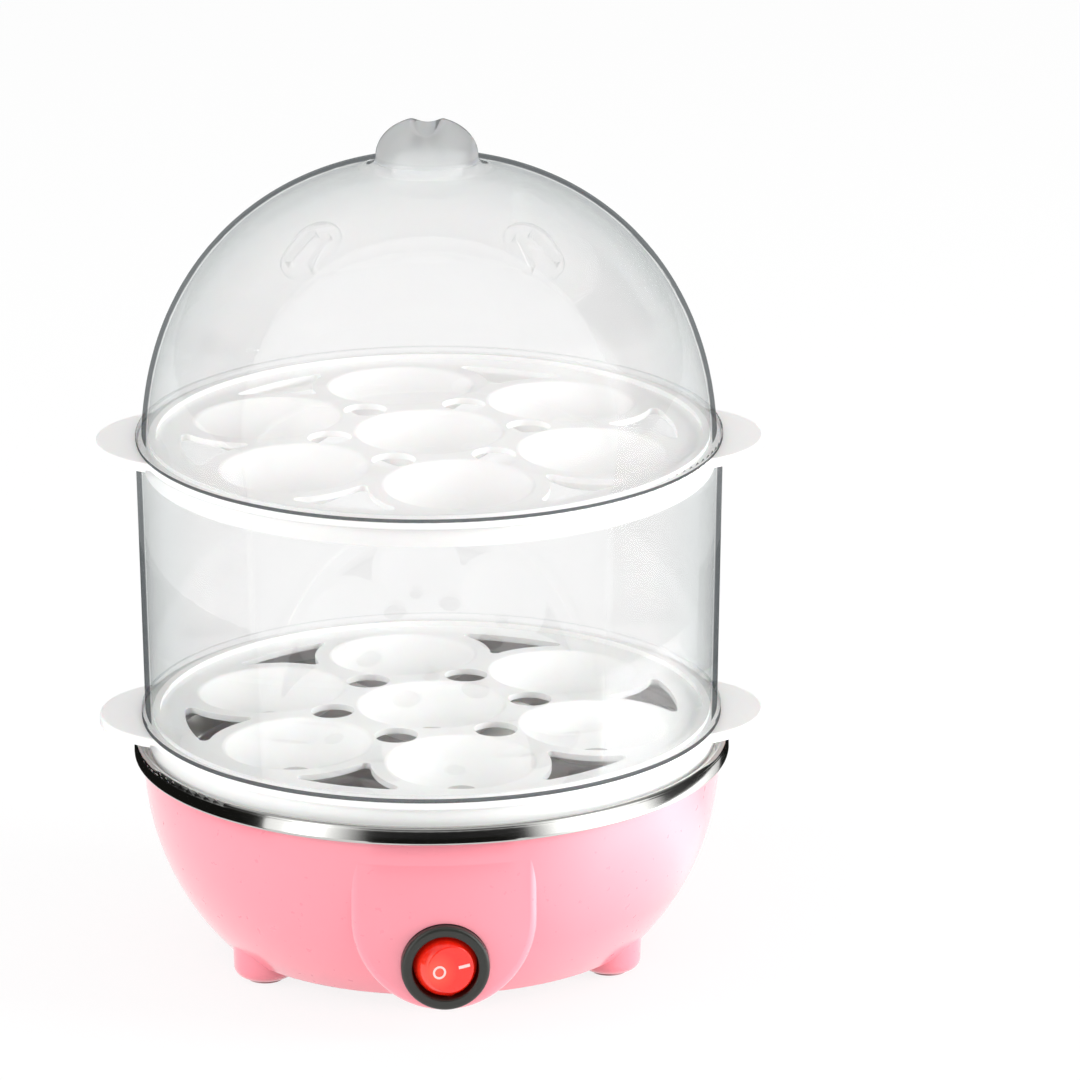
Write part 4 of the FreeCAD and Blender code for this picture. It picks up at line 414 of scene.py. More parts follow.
        # Painted shade: the knob's colour darkens from its foot up to its crown
        shade = add_node(tree, "ShaderNodeMix", {"data_type": "RGBA"},
                         {MIX_FIRST: srgb(haze.low_colour), MIX_SECOND: srgb(haze.high_colour)},
                         {MIX_SHARE: rise.outputs["Result"]})
        matt = add_node(tree, "ShaderNodeMapRange",
                        values={"To Min": self.roughness, "To Max": haze.roughness},
                        links={"Value": share.outputs["Result"]})
        tree.links.new(matt.outputs["Result"], shader.inputs["Roughness"])
        mixed = add_node(tree, "ShaderNodeMix", {"data_type": "RGBA"},
                         links={MIX_SHARE: share.outputs["Result"], MIX_FIRST: colour,
                               MIX_SECOND: shade.outputs[MIX_RESULT]})
        straight = add_node(tree, "ShaderNodeMapRange",
                            values={"To Min": self.straight_share, "To Max": haze.straight_share},
                            links={"Value": share.outputs["Result"]})
        return mixed.outputs[MIX_RESULT], straight.outputs["Result"]


@dataclass(frozen=True)
class RolledEdge:
    """The slight outward roll of a pressed rim, from its foot to its top, as slopes of its side."""

    foot_mm: float
    height_mm: float
    foot_slope: float
    top_slope: float

    def build(self, tree: bpy.types.NodeTree, place: bpy.types.NodeSocket) -> bpy.types.NodeSocket:
        """Work out the height of the roll over the straight side.

        Args:
            tree: Node tree that takes the nodes.
            place: Object coordinates.

        Returns:
            Height in millimetres, falling towards the top.
        """
        split = add_node(tree, "ShaderNodeSeparateXYZ", links={"Vector": place})
        rise = add_node(tree, "ShaderNodeMapRange",
                        values={"From Min": self.foot_mm * MM, "From Max": (self.foot_mm + self.height_mm) * MM,
                                "To Min": 0.0, "To Max": self.height_mm},
                        links={"Value": split.outputs["Z"]})
        bend = (self.top_slope - self.foot_slope) / (2 * self.height_mm)
        curve = add_node(tree, "ShaderNodeMath", {"operation": "MULTIPLY_ADD"}, {"1": -bend, "2": -self.foot_slope},
                         {"0": rise.outputs["Result"]})
        height = add_node(tree, "ShaderNodeMath", {"operation": "MULTIPLY"},
                          links={"0": curve.outputs[0], "1": rise.outputs["Result"]})
        return height.outputs[0]


@dataclass(frozen=True)
class WorkedMetal:
    """A metal with fine marks round its axis: deep and even when turned or brushed, faint when polished."""

    name: str
    colour: str
    roughness: float
    line_mm: float = 0.35
    line_depth_mm: float = 0.001
    round_axis: bool = True
    gloss_low: float = 0.7
    gloss_high: float = 1.4
    smear_mm: float = 18.0
    smear_shade: float = 0.9
    roll: RolledEdge | None = None

    def build(self) -> bpy.types.Material:
        """Make the material.

        Returns:
            The material.
        """
        material, tree, place = new_tree(self.name)
        split = add_node(tree, "ShaderNodeSeparateXYZ", links={"Vector": place})
        square_x = add_node(tree, "ShaderNodeMath", {"operation": "MULTIPLY"},
                            links={"0": split.outputs["X"], "1": split.outputs["X"]})
        square_y = add_node(tree, "ShaderNodeMath", {"operation": "MULTIPLY"},
                            links={"0": split.outputs["Y"], "1": split.outputs["Y"]})
        total = add_node(tree, "ShaderNodeMath", {"operation": "ADD"},
                         links={"0": square_x.outputs[0], "1": square_y.outputs[0]})
        radius = add_node(tree, "ShaderNodeMath", {"operation": "SQRT"}, links={"0": total.outputs[0]})
        rings = add_node(tree, "ShaderNodeCombineXYZ",
                         links={"X": radius.outputs[0], "Z": split.outputs["Z"]})
        lines = add_node(tree, "ShaderNodeTexNoise", values={"Scale": 1 / (self.line_mm * MM), "Detail": 3.0},
                         links={"Vector": rings.outputs[0] if self.round_axis else place})
        gloss = add_node(tree, "ShaderNodeMapRange",
                         values={"To Min": self.roughness * self.gloss_low,
                                 "To Max": self.roughness * self.gloss_high},
                         links={"Value": lines.outputs["Fac"]})
        marks = add_node(tree, "ShaderNodeBump", values={"Distance": self.line_depth_mm * MM, "Strength": 1.0},
                         links={"Height": lines.outputs["Fac"]})
        if self.roll:
            rolled = add_node(tree, "ShaderNodeBump", values={"Distance": MM, "Strength": 1.0},
                              links={"Height": self.roll.build(tree, place)})
            tree.links.new(rolled.outputs["Normal"], marks.inputs["Normal"])
        smear = add_node(tree, "ShaderNodeTexNoise", values={"Scale": 1 / (self.smear_mm * MM), "Detail": 3.0},
                         links={"Vector": place})
        clean = srgb(self.colour)
        smeared = tuple(channel * self.smear_shade for channel in clean[:3]) + (1.0,)
        tone = add_node(tree, "ShaderNodeMix", {"data_type": "RGBA"},
                        {MIX_FIRST: clean, MIX_SECOND: smeared}, {MIX_SHARE: smear.outputs["Fac"]})
        shader = add_node(tree, "ShaderNodeBsdfPrincipled", values={"Metallic": 1.0},
                          links={"Base Color": tone.outputs[MIX_RESULT], "Roughness": gloss.outputs["Result"],
                                 "Normal": marks.outputs["Normal"]})
        add_node(tree, "ShaderNodeOutputMaterial", links={"Surface": shader.outputs["BSDF"]})
        return material


@dataclass(frozen=True)
class LitPolycarbonate:
    """Red clear polycarbonate with a lamp behind it, whose light is painted on: deep at the rim, a painted pool of
    light brighter and paler where the lamp sits, and a painted glow over the whole face.
    """

    name: str
    colour: str = "#C90F05"
    lit: str = "#F02410"
    # Painted light: colour of the pool of lamp light on the face
    glow: str = "#F4674C"
    lamp_x_mm: float = 0.0
    lamp_z_mm: float = 0.0
    lamp_radius_mm: float = 1.0
    lamp_share: float = 0.5
    speckle_mm: float = 0.9
    speckle_depth_mm: float = 0.02
    roughness: float = 0.12
    ior: float = 1.585
    coat: float = 0.4
    coat_roughness: float = 0.05
    # Painted glow: the whole face emits its own colour, though the face is no lamp
    emission: float = 0.14

    def build(self) -> bpy.types.Material:
        """Make the material.

        Returns:
            The material.
        """
        material, tree, place = new_tree(self.name)
        speckle = add_node(tree, "ShaderNodeTexNoise", values={"Scale": 1 / (self.speckle_mm * MM), "Detail": 2.0},
                           links={"Vector": place})
        tone = add_node(tree, "ShaderNodeMix", {"data_type": "RGBA"},
                        {MIX_FIRST: srgb(self.colour), MIX_SECOND: srgb(self.lit)}, {MIX_SHARE: speckle.outputs["Fac"]})
        split = add_node(tree, "ShaderNodeSeparateXYZ", links={"Vector": place})
        face = add_node(tree, "ShaderNodeCombineXYZ", links={"X": split.outputs["X"], "Z": split.outputs["Z"]})
        # Painted pool of light: paler round the lamp's place, fading out at its reach
        away = add_node(tree, "ShaderNodeVectorMath", {"operation": "DISTANCE"},
                        {"1": (self.lamp_x_mm * MM, 0.0, self.lamp_z_mm * MM)}, {"0": face.outputs[0]})
        near = add_node(tree, "ShaderNodeMapRange",
                        values={"From Min": self.lamp_radius_mm * MM, "From Max": 0.0, "To Max": self.lamp_share},
                        links={"Value": away.outputs["Value"]})
        warm = add_node(tree, "ShaderNodeMix", {"data_type": "RGBA"}, {MIX_SECOND: srgb(self.glow)},
                        {MIX_SHARE: near.outputs["Result"], MIX_FIRST: tone.outputs[MIX_RESULT]})
        skin = add_node(tree, "ShaderNodeBump", values={"Distance": self.speckle_depth_mm * MM, "Strength": 1.0},
                        links={"Height": speckle.outputs["Fac"]})
        # The painted colour, lamp pool included, also glows as emission
        shader = add_node(tree, "ShaderNodeBsdfPrincipled",
                          values={"IOR": self.ior, "Roughness": self.roughness, "Coat Weight": self.coat,
                                  "Coat Roughness": self.coat_roughness, "Emission Strength": self.emission},
                          links={"Base Color": warm.outputs[MIX_RESULT], "Emission Color": warm.outputs[MIX_RESULT],
                                 "Normal": skin.outputs["Normal"]})
        add_node(tree, "ShaderNodeOutputMaterial", links={"Surface": shader.outputs["BSDF"]})
        return material


class Finish(Enum):
    """The finishes of the steamer's pieces."""

    # Pink ABS, high-gloss moulding: an even candy pink with soft broad reflections
    PINK_ABS = MouldedPlastic("pink_abs_gloss_moulded", "#F995A3", "#F7909E", 0.28, coat=1.0)
    # White polypropylene, satin moulding: soft and slightly see-through at thin edges
    WHITE_PP = MouldedPlastic("white_polypropylene_satin_moulded", "#FAFAF9", "#F6F6F5", 0.32, ior=1.49,
                              glow_through=0.15)
    # Clear polystyrene ring, polished moulding: clear, with painted shade greying it only where its wall turns away and
    # in its thick foot
    CLEAR_PS = ClearPolystyrene("clear_polystyrene_moulded")
    # The same polystyrene in the lid, whose knob is left matt by the tool: a soft haze, with painted shade that greys
    # it towards a dark crown
    HAZED_PS = ClearPolystyrene("clear_polystyrene_hazed_knob")
    # Stainless steel, pressed and mirror-polished: sharp dark and light bands with very fine turned lines
    STAINLESS = WorkedMetal("stainless_steel_polished", "#CFCFCC", 0.12)
    # Zinc-plated steel, pressed: dull silver of the hidden fixings
    ZINC_STEEL = WorkedMetal("zinc_plated_steel_pressed", "#B4B6B8", 0.34, round_axis=False)
    # Aluminium, rolled plate: pale with a soft sheen
    ALUMINIUM = WorkedMetal("aluminium_rolled", "#D2D3D5", 0.36, line_mm=0.6)
    # Brass, drawn: warm yellow of the contacts
    BRASS = WorkedMetal("brass_drawn", "#C9A24A", 0.28, round_axis=False)
    # Tinned brass, stamped: pale warm grey
    TINNED = WorkedMetal("tinned_brass_stamped", "#C6C2B6", 0.3, round_axis=False)
    # Black nylon, spark-eroded moulding: fine matt grain with a soft edge light
    BLACK_NYLON = MouldedPlastic("black_nylon_etched_moulded", "#2C2E2A", "#232521", 0.34,
                                 grain_mm=0.35, grain_depth_mm=0.012)
    # Red polycarbonate with the lamp on: its light painted on as a pool and a glow
    RED_PC = LitPolycarbonate("red_polycarbonate_lit")
    # Pad-printed white ink on the rocker
    WHITE_INK = MouldedPlastic("white_ink_pad_printed", "#F6CFCC", "#F0C5C1", 0.5)
    # Rose-grey thermoplastic rubber of the feet: matt with a fine grain
    ROSE_RUBBER = MouldedPlastic("rose_rubber_moulded", "#C9A3A6", "#BD979B", 0.7,
                                 grain_mm=0.5, grain_depth_mm=0.03)
    # Black flexible PVC of the cord bush
    BLACK_PVC = MouldedPlastic("black_pvc_moulded", "#1E1E1E", "#161616", 0.5, grain_mm=0.5, grain_depth_mm=0.02)
    # Translucent silicone of the gasket
    SILICONE = MouldedPlastic("silicone_pressed", "#DCDCDA", "#D2D2CF", 0.45)
    # Unglazed ceramic of the bushes
    CERAMIC = MouldedPlastic("steatite_ceramic_fired", "#E8E4D8", "#DDD8CA", 0.6, grain_mm=0.3, grain_depth_mm=0.02)
    # Brown phenolic of the thermostat
    PHENOLIC = MouldedPlastic("phenolic_compression_moulded", "#3A2519", "#2E1C12", 0.4)
    # Woven glass-fibre sleeve of the fuse
    GLASS_SLEEVE = MouldedPlastic("glass_fibre_sleeve_woven", "#E9E4D2", "#DAD4BF", 0.7,
                                  grain_mm=0.4, grain_depth_mm=0.08)
    # Lead insulations: silicone or PVC, extruded
    LEAD_BROWN = MouldedPlastic("brown_pvc_extruded", "#5A3019", "#4C2712", 0.4)
    LEAD_BLUE = MouldedPlastic("blue_pvc_extruded", "#1E4C9A", "#183F84", 0.4)
    LEAD_WHITE = MouldedPlastic("white_silicone_extruded", "#E6E4DC", "#D8D6CC", 0.45)
    LEAD_EARTH = MouldedPlastic("green_yellow_pvc_extruded", "#5E9A32", "#C8B82C", 0.4)
    # Clear lamp glass, tinted orange, with painted shade darker where its wall turns away and a painted dark outline
    LAMP_GLASS = ClearPolystyrene("lamp_glass_drawn", ((0.0, "#F6C79C"), (1.0, "#B0703C")), "#F0C090", "#B0703C")


AnyFinish = MouldedPlastic | ClearPolystyrene | WorkedMetal | LitPolycarbonate


class FinishShelf:
    """Builds each finish once and hands it out."""

    def __init__(self) -> None:
        """Start with an empty shelf."""
        self._made: dict[AnyFinish, bpy.types.Material] = {}

    def get(self, finish: AnyFinish) -> bpy.types.Material:
        """Return the material of a finish, building it at first use.

        Args:
            finish: The wanted finish.

        Returns:
            Its material.
        """
        if finish not in self._made:
            self._made[finish] = finish.build()
        return self._made[finish]

    def dress(self, piece: bpy.types.Object, finish: AnyFinish) -> None:
        """Give a piece one finish in all its slots.

        Args:
            piece: Mesh object to dress.
            finish: Finish for every slot.
        """
        material = self.get(finish)
        if not piece.material_slots:
            piece.data.materials.append(material)
        for slot in piece.material_slots:
            slot.material = material


# Sub-assemblies


class SubAssembly:
    """Pieces that are made and fitted together. Their meshes are the solids, which stay as they are."""

    def finishes(self) -> dict[str, AnyFinish]:
        """Name the pieces of the group with their finishes."""
        raise NotImplementedError

    def dress(self, pieces: dict[str, bpy.types.Object], shelf: FinishShelf) -> None:
        """Give each piece of the group its finish and report it.

        Args:
            pieces: The solids' objects, by name.
            shelf: Shelf that holds the materials.
        """
        for name, finish in self.finishes().items():
            shelf.dress(pieces[name], finish)
            LOG.info("dressed %s in %s", name, finish.name)


class HeatingBase(SubAssembly):
    """Pink moulded housing with its underside cover, feet and the cord's gland."""

    def finishes(self) -> dict[str, AnyFinish]:
        """Name the housing's pieces with their finishes."""
        return {
            "base_housing": Finish.PINK_ABS.value, "bottom_cover": Finish.PINK_ABS.value,
            "foot_rubbers": Finish.ROSE_RUBBER.value, "cover_screws": Finish.ZINC_STEEL.value,
            "cord_bush": Finish.BLACK_PVC.value}


@dataclass
class WaterBowl(SubAssembly):
    """Pressed steel bowl, with the sizes of its rolled rim, the gasket below it and its stud."""

    rim_foot_mm: float = 53.5
    rim_height_mm: float = 4.5
    rim_foot_slope: float = 0.16
    rim_top_slope: float = 0.42

    def finishes(self) -> dict[str, AnyFinish]:
        """Name the bowl's pieces with their finishes."""
        roll = RolledEdge(self.rim_foot_mm, self.rim_height_mm, self.rim_foot_slope, self.rim_top_slope)
        return {"water_bowl": replace(Finish.STAINLESS.value, roll=roll), "rim_gasket": Finish.SILICONE.value,
                "bowl_stud": Finish.ZINC_STEEL.value}


class RingHeater(SubAssembly):
    """Ring element under its plate, with the bracket that clamps it to the bowl."""

    def finishes(self) -> dict[str, AnyFinish]:
        """Name the heater's pieces with their finishes."""
        steel = ("heating_element", "plate_spacer", "clamp_bracket", "clamp_washer", "clamp_nut", "bracket_screws")
        return {name: Finish.ZINC_STEEL.value for name in steel} | {
            "heater_plate": Finish.ALUMINIUM.value, "heat_shield": Finish.ALUMINIUM.value,
            "element_bushes": Finish.CERAMIC.value, "element_terminals": Finish.TINNED.value}


class HeatGuards(SubAssembly):
    """Thermostat on the heater plate and the thermal fuse in its sleeve."""

    def finishes(self) -> dict[str, AnyFinish]:
        """Name the guards' pieces with their finishes."""
        steel = ("thermostat_clip", "thermostat_screws", "fuse_clip", "fuse_clip_screw")
        return {name: Finish.ZINC_STEEL.value for name in steel} | {
            "thermostat_cap": Finish.ALUMINIUM.value, "thermostat_body": Finish.PHENOLIC.value,
            "thermostat_tabs": Finish.TINNED.value, "fuse_sleeve": Finish.GLASS_SLEEVE.value,
            "thermal_fuse": Finish.TINNED.value}


class Wiring(SubAssembly):
    """Terminal block, earth point, spades and leads inside the base."""

    def finishes(self) -> dict[str, AnyFinish]:
        """Name the wiring's pieces with their finishes."""
        steel = ("earth_screw", "block_clamp_screws", "block_mount_screws")
        white = ("switched_lead", "fuse_feed_lead", "element_feed_lead")
        blue = ("lamp_lead", "neutral_lead")
        return ({name: Finish.ZINC_STEEL.value for name in steel} | {name: Finish.LEAD_WHITE.value for name in white}
                | {name: Finish.LEAD_BLUE.value for name in blue} | {
                    "earth_eyelet": Finish.TINNED.value, "terminal_block": Finish.WHITE_PP.value,
                    "block_inserts": Finish.BRASS.value, "spade_receptacles": Finish.TINNED.value,
                    "live_lead": Finish.LEAD_BROWN.value, "earth_lead": Finish.LEAD_EARTH.value})


@dataclass
class RockerSwitch(SubAssembly):
    """Round rocker switch, with the place and reach of the painted glow of its lamp on its face."""

    lamp_x_mm: float = -2.6
    lamp_z_mm: float = 20.0
    lamp_radius_mm: float = 5.6

    def finishes(self) -> dict[str, AnyFinish]:
        """Name the switch's pieces with their finishes."""
        face = replace(Finish.RED_PC.value, lamp_x_mm=self.lamp_x_mm, lamp_z_mm=self.lamp_z_mm,
                       lamp_radius_mm=self.lamp_radius_mm)
        return {
            "switch_housing": Finish.BLACK_NYLON.value, "switch_rocker": face,
            "rocker_marks": Finish.WHITE_INK.value, "switch_plunger": Finish.WHITE_PP.value,
            "plunger_spring": Finish.ZINC_STEEL.value, "switch_contact": Finish.BRASS.value,
            "switch_terminals": Finish.TINNED.value, "neon_lamp": Finish.LAMP_GLASS.value}


@dataclass
class CuppedTray(SubAssembly):
    """White tray with seven cups."""

    piece: str

    def finishes(self) -> dict[str, AnyFinish]:
        """Name the tray with its finish."""
        return {self.piece: Finish.WHITE_PP.value}


@dataclass
class RingCover(SubAssembly):
    """Clear ring wall between the trays, with its foot painted grey as shade and the flare of its outer skin, where the
    painted dark outline falls.
    """

    foot_radius_mm: float = 74.6
    foot_mm: float = 64.85
    lean: float = 0.0204
    # Where the foot is painted grey as shade
    grey_low_mm: float = 64.8
    grey_high_mm: float = 66.0
    grey_radius_mm: float = 76.0

    def finishes(self) -> dict[str, AnyFinish]:
        """Name the ring with its finish."""
        ring = PaintedGreyRing(self.grey_low_mm, self.grey_high_mm, self.grey_radius_mm)
        skin = FlaredSkin(self.foot_radius_mm, self.foot_mm, self.lean)
        return {"middle_cover": replace(Finish.CLEAR_PS.value, ring=ring, skin=skin)}


@dataclass
class DomedLid(SubAssembly):
    """Clear lid, with the curve of its outer skin, its foot painted grey as shade, its two vents kept free of the
    painted outline, and its matt knob with painted shade.
    """

    equator_radius_mm: float = 75.41
    dome_height_mm: float = 78.18
    equator_mm: float = 136.2
    curve_exponent: float = 2.173
    # Where the foot is painted grey as shade
    grey_low_mm: float = 140.2
    grey_high_mm: float = 141.4
    grey_radius_mm: float = 76.2
    # Vents, where the painted dark outline is left out
    vent_x_mm: float = 28.6
    vent_y_mm: float = -36.1
    vent_radius_mm: float = 12.5
    knob_foot_mm: float = 214.5
    knob_top_mm: float = 226.3

    def finishes(self) -> dict[str, AnyFinish]:
        """Name the lid with its finish."""
        # Painted shade on the matt knob: pale at its foot, darker at its crown
        haze = MattTopWithPaintedShade(self.knob_foot_mm, self.knob_top_mm, low_colour="#FAFBFB", high_colour="#E9EAEA",
                        roughness=0.42, straight_share=0.2)
        ring = PaintedGreyRing(self.grey_low_mm, self.grey_high_mm, self.grey_radius_mm)
        skin = DomeSkin(self.equator_radius_mm, self.dome_height_mm, self.equator_mm, self.curve_exponent)
        vents = tuple(SoftSpot(side * self.vent_x_mm, self.vent_y_mm, self.vent_radius_mm) for side in (-1, 1))
        return {"dome_lid": replace(Finish.HAZED_PS.value, haze=haze, ring=ring, skin=skin, spots=vents)}


# Studio


@dataclass
class SoftBox:
    """One soft rectangular lamp aimed at a point."""

    name: str
    place: tuple[float, float, float]
    aim: tuple[float, float, float]
    width: float
    height: float
    power: float

    def build(self) -> bpy.types.Object:
        """Make the lamp.

        Returns:
            The lamp's object.
        """
        lamp = bpy.data.lights.new(self.name, "AREA")
        lamp.shape = "RECTANGLE"
        lamp.size = self.width
        lamp.size_y = self.height
        lamp.energy = self.power
        holder = bpy.data.objects.new(self.name, lamp)
        holder.location = self.place
        way = Vector(self.aim) - Vector(self.place)
        holder.rotation_euler = way.to_track_quat("-Z", "Y").to_euler()
        holder.visible_glossy = False
        holder.visible_transmission = False
        bpy.context.scene.collection.objects.link(holder)
        return holder


@dataclass
class ReflectedCard:
    """A low curved card round the base, black or shining, which only reflections see."""

    name: str
    radius: float
    low: float
    high: float
    from_deg: float
    to_deg: float
    colour: str
    strength: float = 0.0
    apron_radius: float = 0.0
    apron_share: float = 0.3
    plateau_share: float = 0.35
    end_strength: float = 0.6
    step_count: int = 40

    def build(self) -> bpy.types.Object:
        """Stand the card round the base.

        Returns:
            The card's object.
        """
        mesh = bpy.data.meshes.new(self.name)
        angles = np.linspace(math.radians(self.from_deg), math.radians(self.to_deg), self.step_count)
        rows = [(self.radius, self.high), (self.radius, self.low)]
        if self.apron_radius:
            rows.append((self.apron_radius, self.low))
        verts = [(r * math.cos(a), r * math.sin(a), z) for r, z in rows for a in angles]
        faces = [(i, i + 1, i + 1 + self.step_count, i + self.step_count)
                 for i in range(len(verts) - self.step_count) if (i + 1) % self.step_count]
        mesh.from_pydata(verts, [], faces)
        card = bpy.data.objects.new(self.name, mesh)
        bpy.context.scene.collection.objects.link(card)
        mesh.materials.append(self.build_material())
        card.visible_camera = False
        card.visible_diffuse = False
        card.visible_transmission = False
        card.visible_shadow = False
        return card

    def build_material(self) -> bpy.types.Material:
        """Make the card's surface: black felt, or a shining sheet that fades towards its two ends.

        Returns:
            The material.
        """
        material, tree, place = new_tree(self.name)
        material.cycles.emission_sampling = "NONE"
        felt = add_node(tree, "ShaderNodeEmission", values={"Color": srgb(self.colour), "Strength": 1.0})
        if not self.strength:
            add_node(tree, "ShaderNodeOutputMaterial", links={"Surface": felt.outputs[0]})
            return material
        middle = math.radians((self.from_deg + self.to_deg) / 2)
        along = add_node(tree, "ShaderNodeVectorMath", {"operation": "DOT_PRODUCT"},
                         {"1": (-math.sin(middle), math.cos(middle), 0.0)}, {"0": place})
        half = self.radius * math.sin(math.radians(self.to_deg - self.from_deg) / 2)
        far = add_node(tree, "ShaderNodeMath", {"operation": "ABSOLUTE"}, links={"0": along.outputs["Value"]})
        power = add_node(tree, "ShaderNodeMapRange",
                         values={"From Min": half, "From Max": half * self.plateau_share,
                                 "To Min": self.end_strength, "To Max": self.strength},
                         links={"Value": far.outputs[0]})
        reach = add_node(tree, "ShaderNodeVectorMath", {"operation": "LENGTH"}, links={"0": place})
        outward = add_node(tree, "ShaderNodeMapRange",
                           values={"From Min": self.apron_radius, "From Max": self.radius,
                                   "To Min": self.apron_share},
                           links={"Value": reach.outputs["Value"]})
        faded = add_node(tree, "ShaderNodeMath", {"operation": "MULTIPLY"},
                         links={"0": power.outputs["Result"], "1": outward.outputs["Result"]})
        tree.links.new(faded.outputs[0], felt.inputs["Strength"])
        add_node(tree, "ShaderNodeOutputMaterial", links={"Surface": felt.outputs[0]})
        return material


@dataclass
class Studio:
    """White floor and surround, soft boxes and the camera."""

    floor_size: float = 6.0
    floor_white_share: float = 0.86
    target: tuple[float, float, float] = (0.0, 0.0, 0.0658)
    distance: float = 2.6
    elevation_deg: float = 18.554
    azimuth_deg: float = -2.3
    roll_deg: float = -0.468
    focal_px: float = 9847.98
    frame_px: float = 1080.0
    target_px: tuple[float, float] = (431.42, 705.22)
    sensor_mm: float = 36.0
    clip_start: float = 0.05
    clip_end: float = 50.0
    paper: str = "#FCFCFC"
    white: str = "#FFFFFF"
    ambient: str = "#CCCCCC"
    room_radius: float = 2.9
    room_strength: float = 1.8
    window_strength: float = 2.5
    ceiling: str = "#A4A4A4"
    ceiling_low_share: float = 0.5
    ceiling_high_share: float = 0.85
    room_segments: int = 48
    room_rings: int = 24
    # Grey of the room's walls, once round from behind the camera past -X, the back and +X
    wall_steps: tuple[tuple[float, str], ...] = (
        (0.0, "#1C1C1C"), (0.075, "#242424"), (0.115, "#E8E8E8"), (0.185, "#E8E8E8"), (0.215, "#2C2C2C"),
        (0.5, "#262626"), (0.735, "#2C2C2C"), (0.765, "#FFFFFF"), (0.875, "#FFFFFF"), (0.91, "#242424"),
        (1.0, "#1C1C1C"))
    # Bright windows in those walls, counted the same way
    window_steps: tuple[tuple[float, str], ...] = (
        (0.0, "#000000"), (0.12, "#000000"), (0.13, "#FFFFFF"), (0.155, "#FFFFFF"), (0.165, "#000000"),
        (0.80, "#000000"), (0.81, "#FFFFFF"), (0.85, "#FFFFFF"), (0.86, "#000000"), (1.0, "#000000"))
    boxes: list[SoftBox] = field(default_factory=lambda: [
        SoftBox("key_soft_box", (-0.9, -1.5, 1.6), (0, 0, 0.1), 1.2, 1.2, 4.4),
        SoftBox("left_soft_box", (-1.4, -0.4, 0.5), (0, 0, 0.04), 0.8, 0.8, 11.0),
        SoftBox("right_soft_box", (1.4, -0.3, 0.4), (0, 0, 0.04), 0.8, 0.8, 24.0),
        SoftBox("top_soft_box", (0.0, 0.2, 2.2), (0, 0, 0.1), 1.6, 1.6, 6.5),
    ])
    cards: list[ReflectedCard] = field(default_factory=lambda: [
        ReflectedCard("front_flag", 0.125, 0.028, 0.068, -109.0, -70.0, "#1A1A18"),
        ReflectedCard("back_flag", 0.125, 0.028, 0.085, 14.0, 221.0, "#1A1A18"),
        ReflectedCard("right_card", 0.17, 0.001, 0.055, -64.0, 26.0, "#FFFFFF", 3.0, 0.072),
    ])

    def build_camera(self) -> bpy.types.Object:
        """Set up the camera at the fitted place, aimed so that its frame needs no shift.

        Returns:
            The camera object.
        """
        azimuth, elevation, roll = (math.radians(v) for v in (self.azimuth_deg, self.elevation_deg, self.roll_deg))
        back = Vector((math.sin(azimuth) * math.cos(elevation), -math.cos(azimuth) * math.cos(elevation),
                       math.sin(elevation)))
        right = Vector((math.cos(azimuth), math.sin(azimuth), 0.0))
        level_right, level_up = right, back.cross(right)
        right = level_right * math.cos(roll) + level_up * math.sin(roll)
        up = level_up * math.cos(roll) - level_right * math.sin(roll)
        half = self.frame_px / 2
        forward = (-back + right * ((half - self.target_px[0]) / self.focal_px)
                   + up * ((self.target_px[1] - half) / self.focal_px)).normalized()
        right = (right - forward * right.dot(forward)).normalized()
        up = right.cross(forward)
        lens = bpy.data.cameras.new("photo_camera")
        lens.sensor_width = self.sensor_mm
        lens.lens = self.focal_px / self.frame_px * self.sensor_mm
        lens.clip_start = self.clip_start
        lens.clip_end = self.clip_end
        camera = bpy.data.objects.new("photo_camera", lens)
        place = Vector(self.target) + back * self.distance
        turn = Matrix((right, up, -forward)).transposed().to_4x4()
        camera.matrix_world = Matrix.Translation(place) @ turn
        bpy.context.scene.collection.objects.link(camera)
        bpy.context.scene.camera = camera
        return camera

    def build_world(self) -> None:
        """White surround: full white where it is seen, reflected or looked through, a little less as fill light."""
        world = bpy.data.worlds.new("white_room")
        world.use_nodes = True
        bpy.context.scene.world = world
        tree = world.node_tree
        tree.nodes.clear()
        ambient = add_node(tree, "ShaderNodeBackground", values={"Color": srgb(self.ambient), "Strength": 1.0})
        white = add_node(tree, "ShaderNodeBackground", values={"Color": srgb(self.white), "Strength": 1.0})
        room = add_node(tree, "ShaderNodeMixShader",
                        links={"0": self.seen_share(tree), "1": ambient.outputs[0], "2": white.outputs[0]})
        add_node(tree, "ShaderNodeOutputWorld", links={"Surface": room.outputs[0]})

    def seen_share(self, tree: bpy.types.NodeTree) -> bpy.types.NodeSocket:
        """Tell rays that see a background from rays that carry fill light.

        Args:
            tree: Node tree that takes the nodes.

        Returns:
            One for camera, glossy and transmission rays, else zero.
        """
        path = add_node(tree, "ShaderNodeLightPath")
        direct = add_node(tree, "ShaderNodeMath", {"operation": "MAXIMUM"},
                          links={"0": path.outputs["Is Camera Ray"], "1": path.outputs["Is Transmission Ray"]})
        seen = add_node(tree, "ShaderNodeMath", {"operation": "MAXIMUM"},
                        links={"0": direct.outputs[0], "1": path.outputs["Is Glossy Ray"]})
        return seen.outputs[0]

